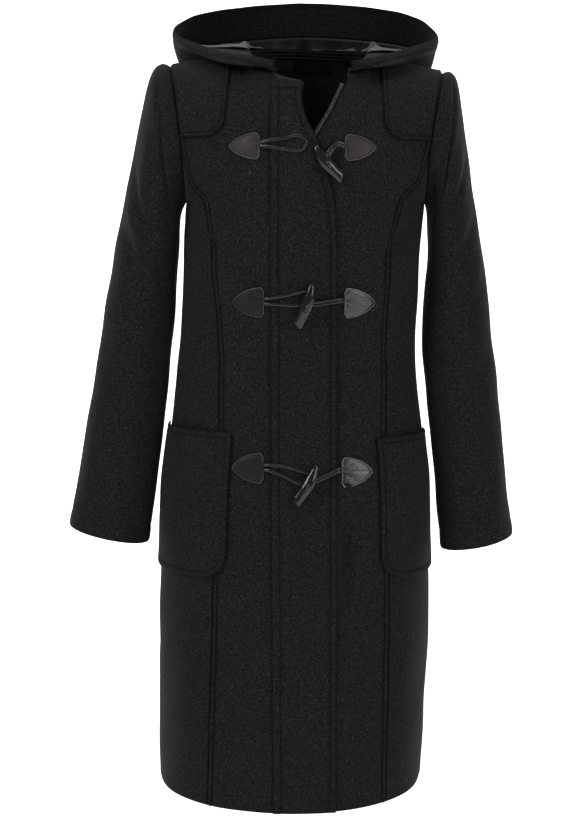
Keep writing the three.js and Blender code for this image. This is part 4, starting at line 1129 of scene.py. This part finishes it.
x_grid, z_grid = np.meshgrid(np.linspace(LABEL[0], LABEL[1], 40), np.linspace(LABEL[2], LABEL[3], 16))
turns, heights = find(x_grid, z_grid, "back")
normals = body_normal("back", turns, heights)
face = body("back", turns, heights) + normals * (LINING_LIFT - SATIN_THICK - LABEL_GAP - LABEL_THICK)
label = cloth("neck_label_cloth", face, -normals, LABEL_THICK, ALL_TURNED,
              uneven(face, 30, 0.25, 17.0), material=label_finish("woven label"))
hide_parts("neck_label")

# The zip: the stretch of its left half that shows in the V of the neck. Its tape is sewn under the left
# front edge, and each tooth is a small moulded block with a rounded head, dark and glossy.
ZIP_FOOT = -110
ZIP_HEAD = -36
TOOTH_PITCH = 3.1
TOOTH_SIZE = (1.5, 4.4, 2.2)
TOOTH_BEVEL = 0.45
TOOTH_INSET = 3.9
TOOTH_LIFT = -0.6
TAPE_REACH = (-4.2, -1.2)
TAPE_THICK = 1.0


def plain_finish(name, colour, constants, grain=0.0, grain_scale=300):
    """One smooth material, with a fine grain in its roughness and relief."""
    made, shader, here = new_finish(name, constants)
    pattern = here.noise(grain_scale, 3.0, 0.6)
    dark = tuple(value * 0.75 for value in colour) + (1,)
    light = tuple(value * 1.3 for value in colour) + (1,)
    connect(shader, "Base Color", pattern.spread(0.35, 0.65).blend(dark, light))
    connect(shader, "Roughness", constants["Roughness"] - 0.06 + pattern * 0.12)
    if grain:
        add_relief(shader, pattern, grain, 0.6)
    return made


def path_frames(points, ups):
    """Directions along, across and out of a path, at each of its points."""
    along = unit(np.gradient(points, axis=0))
    across = unit(np.cross(along, ups))
    return along, across, unit(np.cross(across, along))


def resample(points, ups, pitch, start=0.5):
    """Points and outward directions at an even pitch along a path."""
    length = length_along(points)
    where = np.arange(start * pitch, length[-1], pitch)
    read = [np.stack([np.interp(where, length, values[:, axis]) for axis in range(3)], axis=-1)
            for values in (points, ups)]
    return read[0], unit(read[1])


def face_outwards(made):
    """Turns all faces of an object outwards."""
    deselect_all()
    bpy.context.view_layer.objects.active = made
    made.select_set(True)
    bpy.ops.object.mode_set(mode="EDIT")
    bpy.ops.mesh.select_all(action="SELECT")
    bpy.ops.mesh.normals_make_consistent(inside=False)
    bpy.ops.object.mode_set(mode="OBJECT")


def copies_along(name, shape, lines, material):
    """Joins one copy of a modelled shape for each point of some lines: x along the line and z outwards."""
    frames = [path_frames(points, ups) for points, ups in lines]
    points = np.concatenate([line[0] for line in lines])
    along, across, out = (np.concatenate([each[part] for each in frames]) for part in range(3))
    count = len(shape.data.vertices)
    local = np.empty(count * 3)
    shape.data.vertices.foreach_get("co", local)
    local = local.reshape(-1, 3)
    vertices = (points[:, None] + local[None, :, :1] * along[:, None] + local[None, :, 1:2] * across[:, None]
                + local[None, :, 2:] * out[:, None]).reshape(-1, 3)
    faces = [tuple(corner + copy * count for corner in polygon.vertices)
             for copy in range(len(points)) for polygon in shape.data.polygons]
    face_outwards(add_object(name, vertices, faces, material))


def discard(shape):
    """Removes a shape that was only modelled to be copied."""
    bpy.data.objects.remove(shape, do_unlink=True)


zip_levels = np.linspace(ZIP_FOOT, ZIP_HEAD, 60)
edge_x = np.interp(zip_levels, [row[0] for row in FRONT_EDGES], [row[2] for row in FRONT_EDGES])
x_grid = edge_x[:, None] + np.linspace(*TAPE_REACH, 6)[None, :]
z_grid = zip_levels[:, None] + np.zeros_like(x_grid)
face, normals = over(x_grid, z_grid, np.full_like(x_grid, -TAPE_THICK))
tape_black = plain_finish("zip tape", (0.006, 0.006, 0.007), {"Roughness": 0.8}, 0.0003, 900)
tape = cloth("zip_left_tape", face, normals, TAPE_THICK, ALL_TURNED, material=tape_black)
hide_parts("zip_left")

tooth_dark = plain_finish("zip teeth", (0.075, 0.075, 0.078),
                          {"Roughness": 0.36, "Metallic": 0.8})
deselect_all()
bpy.ops.mesh.primitive_cube_add(size=1)
tooth = bpy.context.active_object
bpy.ops.object.mode_set(mode="EDIT")
bpy.ops.transform.resize(value=TOOTH_SIZE)
bpy.ops.object.mode_set(mode="OBJECT")
bevel = tooth.modifiers.new("bevel", "BEVEL")
bevel.width = TOOTH_BEVEL
bevel.segments = 2
bpy.ops.object.modifier_apply(modifier="bevel")
line, ups = over(edge_x - TOOTH_INSET, zip_levels, np.full_like(edge_x, TOOTH_LIFT))
line, ups = resample(line, ups, TOOTH_PITCH)
copies_along("zip_left_teeth", tooth, [(line, ups)], tooth_dark)
discard(tooth)

# The leather patches: rounded shields sewn flat on each side of the three toggle rows, their points
# outwards. They are cut from thin glossy leather, with a line of stitches just inside the edge and fine
# creases.
# Each patch: name, side of its point, its flat edge's x, its length, its middle's z and its half height.
PATCHES = (("top_right", -1, -59, 39, -116, 17), ("top_left", 1, 50, 40, -118, 17),
           ("middle_right", -1, -54, 40, -316, 20), ("middle_left", 1, 50, 40, -317, 20),
           ("bottom_right", -1, -55, 41, -532, 20), ("bottom_left", 1, 47, 41, -538, 20))
LEATHER_THICK = 1.5
PATCH_LIFT = 2.2
PATCH_EDGE = (0.3, 2.4)
LEATHER_RIM_HIGHLIGHT = (0.07, 0.067, 0.065, 1)


def leather_finish(name, dark, light, roughness, shine):
    """Thin smooth leather with a fine pebble, faint creases, and a painted highlight on its burnished rim."""
    made, shader, here = new_finish(name, {"Roughness": roughness, "Specular IOR Level": shine})
    pebble = here.node("ShaderNodeTexVoronoi", {"feature": "F1"}, {"Vector": here, "Scale": 850.0})
    creases = here.noise(70, 4.0, 0.6)
    # At the very edge the colour is lightened as a painted highlight, over a burnished rim that is also made
    # less rough.
    rim = here.attribute("seams") > 0.82
    connect(shader, "Base Color", rim.blend(creases.spread(0.35, 0.65).blend(dark, light), LEATHER_RIM_HIGHLIGHT))
    connect(shader, "Roughness", roughness - 0.08 + creases * 0.18 - rim * 0.1)
    add_relief(shader, pebble * 0.25 + creases * 1.0, 0.0009, 0.7)
    return made


leather_brown = leather_finish("brown leather", (0.0115, 0.0088, 0.0082, 1),
                               (0.0185, 0.0142, 0.0132, 1), 0.5, 0.3)
leather_dark = leather_finish("dark leather", (0.0035, 0.0032, 0.0028, 1),
                              (0.0065, 0.0058, 0.0055, 1), 0.45, 0.2)
leather_gloss = leather_finish("glossy leather", (0.005, 0.0045, 0.0045, 1),
                               (0.010, 0.009, 0.009, 1), 0.27, 0.7)
leather_strand = leather_finish("strand leather", (0.002, 0.002, 0.002, 1),
                                (0.005, 0.0045, 0.0045, 1), 0.18, 0.45)
PATCH_LEATHERS = {"top_right": leather_brown, "top_left": leather_brown, "middle_right": leather_dark,
                  "middle_left": leather_gloss, "bottom_right": leather_dark, "bottom_left": leather_gloss}
patches = {}
for name, side, flat, width, z, half in PATCHES:
    along = np.concatenate([[0, 0.01, 0.03], np.linspace(0.06, 0.94, 30), [0.97, 0.985, 1]])
    tall = half * np.maximum(0.14, (1 - along**2.1) ** 0.72)
    tall *= 1 - 0.26 * np.exp(-((along / 0.055) ** 2))
    across = np.concatenate([[-1, -0.985, -0.955], np.linspace(-0.91, 0.91, 30), [0.955, 0.985, 1]])
    x_grid = flat + side * width * along[None, :] + np.zeros((len(across), 1))
    z_grid = z + tall[None, :] * across[:, None]
    face, normals = over(x_grid, z_grid, np.full_like(x_grid, PATCH_LIFT))
    extra = 0.25 * np.sin(np.arctan2(z_grid - z, (x_grid - flat) * side + 6) * 9 + 1.3 * along[None, :] * 4)
    extra = extra * (1 - along[None, :]) * (1.1 if PATCH_LEATHERS[name] == leather_gloss else 0.6)
    extra = extra + 0.7 * (1 - across[:, None] ** 2) * np.sin(along[None, :] * np.pi)
    if name == "bottom_left":
        extra = extra - 0.6 * np.exp(-(((across[:, None] - 0.08 * along[None, :]) / 0.08) ** 2))
    face, normals, extra = left_to_right(side, face, normals, extra)
    edges = ((ALL_SIDES, PATCH_EDGE),)
    patches[name] = cloth(f"patch_{name}_leather", face, normals, LEATHER_THICK, edges, extra,
                          material=PATCH_LEATHERS[name])
    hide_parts(f"patch_{name}")

# The loops and straps: rolled leather strands. A loop on the right side of each row is one strand, doubled,
# that lies over the placket, and a strap on the left side runs to the middle of the toggle. Each is
# stitched along its top.
# Places of the loops: x and z in the front view. Their ends lie on the patch and rise over the placket's
# edge.
LOOPS = {
    "top": ((-58.6, -112), (-47.5, -109.5), (-30, -107), (-12, -103.5), (-3, -106.5), (0.5, -113.5),
            (-4, -120.5), (-14, -122.5), (-30, -120), (-47.5, -117), (-58.6, -116)),
    "middle": ((-53.6, -311), (-46.5, -310), (-24, -306), (-6, -302), (6, -303), (10, -311), (5, -318),
               (-8, -320), (-24, -319), (-46.5, -317.5), (-53.6, -317)),
    "bottom": ((-54.6, -528), (-46.5, -527.5), (-25, -530), (-8, -535), (5, -540), (8, -548), (1, -553.5),
               (-10, -551), (-25, -543.5), (-46.5, -535), (-54.6, -534)),
}
STRAND_SIDES = 14
LOOP_WIDTH = 4.0
LOOP_HEIGHT = 2.4
STRAP_WIDTH = 3.3
STRAP_HEIGHT = 2.6
STRAP_ASIDE = 1.75
ON_PATCH = 3.5
OVER_EDGE = 5.7
ON_PLACKET = 5.0
# Places of the straps: x, z and height over the body's face.
STRAPS = {
    "top": ((49.6, -116, 3.6), (42, -114, 6), (35, -117, 6.4), (30, -124, 7.5), (28, -130, 8.5)),
    "middle": ((49.6, -313, 3.6), (42, -313, 6.4), (28, -315, 5.8), (14, -317, 7.4), (6, -317, 8.2)),
    "bottom": ((46.6, -534, 3.9), (41.8, -535, 6.6), (26, -542, 5.8), (13, -548, 7.4), (6, -550, 8.2)),
}


def smooth_path(places, count):
    """An even, rounded path of front-view places and heights."""
    places = np.array(places, float)
    steps = length_along(places)
    where = np.linspace(0, steps[-1], count)
    return [smooth_reader(list(zip(steps, places[:, axis])), 1)(where) for axis in range(3)]


def closed_tube(name, rings, material):
    """Adds a tube from its rings of points, closed at both ends."""
    around = rings.shape[1]
    number = np.arange(rings.shape[0] * around).reshape(-1, around)
    ahead = np.roll(number, -1, axis=1)
    caps = [[numbers[0], numbers[step], numbers[step + 1], numbers[(step + 2) % around]]
            for numbers in (number[0][::-1], number[-1]) for step in range(1, around - 1, 2)]
    faces = np.concatenate([quads(number[:-1], ahead[:-1], ahead[1:], number[1:]), np.array(caps)])
    return mesh_piece(name, rings.reshape(-1, 3), faces, material)


def strand(name, places, width, height, node, material, count, aside=0.0):
    """Sweeps a flattened round section along a path over the coat, and returns the path on its top."""
    x, z, lift = smooth_path(places, count)
    centre, ups = over(x, z, lift)
    along, across, out = path_frames(centre, ups)
    centre = centre + across * aside
    angles = np.linspace(0, 2 * np.pi, STRAND_SIDES, endpoint=False)
    wide = width / 2 * np.sign(np.cos(angles)) * np.abs(np.cos(angles)) ** 0.8
    tall = height / 2 * np.sin(angles)
    rings = centre[:, None] + across[:, None] * wide[None, :, None] + out[:, None] * tall[None, :, None]
    first = mix(centre[:1, None], rings[:1], 0.5)
    last = mix(centre[-1:, None], rings[-1:], 0.5)
    rings = np.concatenate([first, rings, last])
    made = closed_tube(name, rings, material)
    if node:
        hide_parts(node)
    return centre + out * (height / 2 - 0.05), out


strand_tops = {}
for name, places in LOOPS.items():
    heights = [ON_PATCH, OVER_EDGE] + [ON_PLACKET] * (len(places) - 4) + [OVER_EDGE, ON_PATCH]
    path = [(x, z, lift) for (x, z), lift in zip(places, heights)]
    strand_tops[f"loop_{name}"] = strand(f"loop_{name}_leather", path, LOOP_WIDTH, LOOP_HEIGHT,
                                         f"loop_{name}", leather_strand, 90)
for name, places in STRAPS.items():
    for half, aside, node in (("upper", STRAP_ASIDE, f"strap_{name}"), ("lower", -STRAP_ASIDE, None)):
        strand_tops[f"strap_{name}_{half}"] = strand(f"strap_{name}_{half}_leather", places, STRAP_WIDTH,
                                                     STRAP_HEIGHT, node, leather_strand, 44, aside)

# The toggles: polished dark horn, narrow at the tip and thick at the blunt end, drilled with two holes at
# the waist, where a short leather tie goes in and out and holds it to the strap. The cloth's loop goes
# round behind it.
# Each toggle: the front-view x and z of its tip and of its blunt end, its lift, its bend and its thickness.
TOGGLES = {
    "top": ((11, -117), (45, -157), 10.6, 3, 6.2),
    "middle": ((8, -289), (-11, -344), 12.7, -3, 6.4),
    "bottom": ((14, -527), (-13, -575), 14.2, -3, 6.4),
}
# Radius at even steps from the tip to the blunt end, as a share of the thickness.
HORN_RADII = (0.30, 0.52, 0.66, 0.76, 0.85, 0.92, 0.97, 1.0, 1.0, 0.97, 0.93, 0.90, 0.88, 0.87, 0.86)
HOLES = (0.46, 0.63)
HORN_SIDES = 16
RIM_INSET = 0.16
RIM_SINK = -0.035
HOLE_INSET = 0.012
HOLE_DEPTH = -0.5
HORN_WIDE = 1.25
HORN_TALL = 0.88
TIE_SIDES = 10
TIE_WIDE = 1.25
TIE_TALL = 1.9
HORN_BASE = {"Roughness": 0.1, "Specular IOR Level": 0.4, "Coat Weight": 0.12, "Coat Roughness": 0.04}


def horn_finish(name):
    """Dark horn, with long faint streaks under a polish."""
    made, shader, here = new_finish(name, HORN_BASE)
    streaks = here.noise(160, 4.0, 0.6, (1, 1, 0.25))
    colour = streaks.spread(0.4, 0.68).blend((0.0012, 0.0011, 0.001, 1), (0.005, 0.004, 0.0035, 1))
    connect(shader, "Base Color", colour)
    connect(shader, "Roughness", 0.07 + streaks * 0.1)
    add_relief(shader, streaks, 0.0006, 0.5)
    return made


horn = horn_finish("polished horn")
deselect_all()
bpy.ops.mesh.primitive_circle_add(vertices=HORN_SIDES, radius=HORN_RADII[0], fill_type="NGON")
blank = bpy.context.active_object
bpy.ops.object.mode_set(mode="EDIT")
bpy.ops.mesh.select_all(action="SELECT")
for before, radius in zip(HORN_RADII, HORN_RADII[1:]):
    bpy.ops.mesh.extrude_region_move(TRANSFORM_OT_translate={"value": (0, 0, 1 / (len(HORN_RADII) - 1))})
    bpy.ops.transform.resize(value=(radius / before, radius / before, 1))
bpy.ops.mesh.inset(thickness=RIM_INSET, depth=0)
bpy.ops.mesh.extrude_region_move(TRANSFORM_OT_translate={"value": (0, 0, RIM_SINK)})
bpy.ops.object.mode_set(mode="OBJECT")
for place in HOLES:
    target = np.array((0, 0.97, place))
    gaps = [np.sum(((np.array(polygon.center) - target) * (1, 1, 4)) ** 2) for polygon in blank.data.polygons]
    nearest = int(np.argmin(gaps))
    for group in (blank.data.vertices, blank.data.edges, blank.data.polygons):
        group.foreach_set("select", np.zeros(len(group), bool))
    blank.data.polygons[nearest].select = True
    bpy.ops.object.mode_set(mode="EDIT")
    bpy.ops.mesh.select_mode(type="FACE")
    bpy.ops.mesh.inset(thickness=HOLE_INSET, depth=0)
    bpy.ops.mesh.extrude_region_move(TRANSFORM_OT_translate={"value": (0, HOLE_DEPTH, 0)})
    bpy.ops.object.mode_set(mode="OBJECT")
smoothing = blank.modifiers.new("rounding", "SUBSURF")
smoothing.levels = smoothing.render_levels = 2
bpy.ops.object.modifier_apply(modifier="rounding")
horn_places = np.empty(len(blank.data.vertices) * 3)
blank.data.vertices.foreach_get("co", horn_places)
horn_places = horn_places.reshape(-1, 3)
horn_faces = [tuple(polygon.vertices) for polygon in blank.data.polygons]
toggle_frames = {}
for name, (tip, butt, lift, bend, thick) in TOGGLES.items():
    ends, ups = over(np.array([tip[0], butt[0]]), np.array([tip[1], butt[1]]), np.full(2, lift))
    up = unit(ups.sum(0))
    along = unit(ends[1] - ends[0])
    aside = unit(np.cross(along, up))
    out = np.cross(aside, along)
    share = horn_places[:, 2:]
    swell = np.sin(np.clip(share, 0, 1) * np.pi)
    centre = ends[0] + (ends[1] - ends[0]) * share + aside * bend * swell + out * 2 * swell
    slant = 0.16 * horn_places[:, :1] * smooth(share, 0.75, 1.0)
    places = centre + along * slant * np.linalg.norm(ends[1] - ends[0]) * 0.5 * np.sign(bend)
    places = places + aside * horn_places[:, :1] * thick * HORN_WIDE
    places = places + out * horn_places[:, 1:2] * thick * HORN_TALL
    made = add_object(f"toggle_{name}_horn", places, horn_faces, horn)
    face_outwards(made)
    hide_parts(f"toggle_{name}")
    arc = np.linspace(0, np.pi, 24)
    middle = (HOLES[0] + HOLES[1]) / 2
    spread = (HOLES[1] - HOLES[0]) / 2 * np.linalg.norm(ends[1] - ends[0])
    swell = math.sin(middle * math.pi)
    start = ends[0] + (ends[1] - ends[0]) * middle + aside * bend * swell + out * (2 * swell + thick * 0.6)
    tie = start + along * (np.cos(arc) * spread)[:, None] + out * (np.sin(arc) * thick * 0.55)[:, None]
    toggle_frames[name] = (tie, np.repeat(aside[None], len(arc), axis=0))
discard(blank)
for name, (tie, asides) in toggle_frames.items():
    angles = np.linspace(0, 2 * np.pi, TIE_SIDES, endpoint=False)
    along, across, out = path_frames(tie, asides)
    rings = tie[:, None] + across[:, None] * (TIE_WIDE * np.cos(angles))[None, :, None]
    rings = rings + out[:, None] * (TIE_TALL * np.sin(angles))[None, :, None]
    closed_tube(f"toggle_{name}_tie", rings, leather_strand)

# The stitches: doubled black thread, a little darker than the cloth as painted shade in the dips where it is
# sunk along each topstitched edge, and a paler, waxed thread on the leather. Each stitch is a short thread,
# thick in the middle and pulled down at its ends.
WOOL_PITCH = 3.4
LEATHER_PITCH = 2.1
WOOL_STITCH = (2.5, 0.8)
LEATHER_STITCH = (1.5, 0.55)
CORNER_GAP = 8
TAB_GAP = 9
wool_thread = plain_finish("wool thread", (0.0022, 0.0022, 0.0026),
                           {"Roughness": 0.85, "Specular IOR Level": 0.15})
leather_thread = plain_finish("waxed thread", (0.004, 0.0038, 0.0036),
                              {"Roughness": 0.5, "Specular IOR Level": 0.15})


def model_stitch(length, thickness):
    """Models one stitch: a short thread along x, its ends pulled down."""
    deselect_all()
    bpy.ops.mesh.primitive_uv_sphere_add(segments=6, ring_count=4, radius=1)
    made = bpy.context.active_object
    bpy.ops.object.mode_set(mode="EDIT")
    bpy.ops.mesh.select_all(action="SELECT")
    bpy.ops.transform.rotate(value=math.pi / 2, orient_axis="Y", center_override=(0, 0, 0))
    bpy.ops.transform.resize(value=(length / 2, thickness / 2, thickness / 2), center_override=(0, 0, 0))
    bpy.ops.object.mode_set(mode="OBJECT")
    return made


def inset_line(face, normals, lift, side, reach, trims):
    """A line inside one border of a grid, at a reach from it, cut short by a length at each end."""
    surface = face + normals * np.broadcast_to(lift, face.shape[:2])[..., None]
    pick = {"left": np.s_[:, 0], "right": np.s_[:, -1], "bottom": np.s_[0], "top": np.s_[-1]}[side]
    line, ups = surface[pick], normals[pick]
    inward = unit(np.cross(ups, np.gradient(line, axis=0)))
    middle = surface[surface.shape[0] // 2, surface.shape[1] // 2]
    if np.sum((middle - line) * inward) < 0:
        inward = -inward
    line = line + inward * reach
    length = length_along(line)
    keep = (length >= trims[0]) & (length <= length[-1] - trims[1])
    return line[keep], ups[keep]


def sew(name, panel, sides, pitch, shape, thread):
    """Lays stitches inside borders of a piece. Each row: border, reach, and what is left out at each end."""
    lines = []
    for side, reach, first, last in sides:
        face, normals, extra = panel[1]
        line, ups = inset_line(face, normals, extra - STITCH_DIP + 0.2, side, reach, (first, last))
        if len(line) > 2 and np.linalg.norm(line[-1] - line[0]) > 2 * pitch:
            lines.append(resample(line, ups, pitch))
    copies_along(name, shape, lines, thread)


stitch = model_stitch(*WOOL_STITCH)
seam = SEAM_RIDGE[1]
yoke = YOKE_RIDGE[1]
pocket = POCKET_RIDGE[1]
free = FREE_EDGE[1]
# Each piece of stitching on wool: its name, the cloth, and each border with its reach and the gaps at its
# ends. The two named for the cuffs lie under the left back's upper edge.
WOOL_SEWING = [
    ("seam_stitches_right", panels["front_centre_right"], [("left", seam, 0, 0)]),
    ("seam_stitches_left", panels["front_centre_left"], [("right", seam, 0, 0)]),
    ("back_stitches_right", panels["back_right"], [("right", seam, 0, 0)]),
    ("back_stitches_left", panels["back_left"], [("left", seam, 0, 0)]),
    ("placket_stitches", placket, [("left", WELT[1], 0, TAB_GAP), ("right", free, 0, TAB_GAP),
                                   ("top", free, TAB_GAP, TAB_GAP)]),
    ("yoke_stitches_right", yokes[-1], [("right", yoke, 0, 0), ("bottom", yoke, 0, 0)]),
    ("yoke_stitches_left", yokes[1], [("left", yoke, 0, 0), ("bottom", yoke, 0, 0)]),
    ("pocket_stitches_right", pockets[-1],
     [("right", pocket, 0, CORNER_GAP), ("bottom", pocket, CORNER_GAP, 0),
      ("left", pocket, CORNER_GAP, CORNER_GAP), ("top", pocket, CORNER_GAP, CORNER_GAP)]),
    ("pocket_stitches_left", pockets[1],
     [("left", pocket, 0, CORNER_GAP), ("bottom", pocket, 0, CORNER_GAP),
      ("right", pocket, CORNER_GAP, CORNER_GAP), ("top", pocket, CORNER_GAP, CORNER_GAP)]),
]
for side, word in SIDES:
    WOOL_SEWING.append((f"hood_stitches_{word}", hood_halves[side], [("bottom", RIM_EDGE[1], 0, 0)]))
    WOOL_SEWING.append((f"cuff_stitches_{word}", panels["back_left"], [("top", CUFF_STITCHES, 0, 0)]))
for name, panel, sides in WOOL_SEWING:
    sew(name, panel, sides, WOOL_PITCH, stitch, wool_thread)
discard(stitch)

stitch = model_stitch(*LEATHER_STITCH)
for name, panel in patches.items():
    edge = PATCH_EDGE[1]
    sides = [(side, edge, edge, edge) for side in ALL_SIDES]
    sew(f"patch_{name}_stitches", panel, sides, LEATHER_PITCH, stitch, leather_thread)
for name, (line, ups) in strand_tops.items():
    copies_along(f"{name}_stitches", stitch, [resample(line, ups, LEATHER_PITCH)], leather_thread)
discard(stitch)
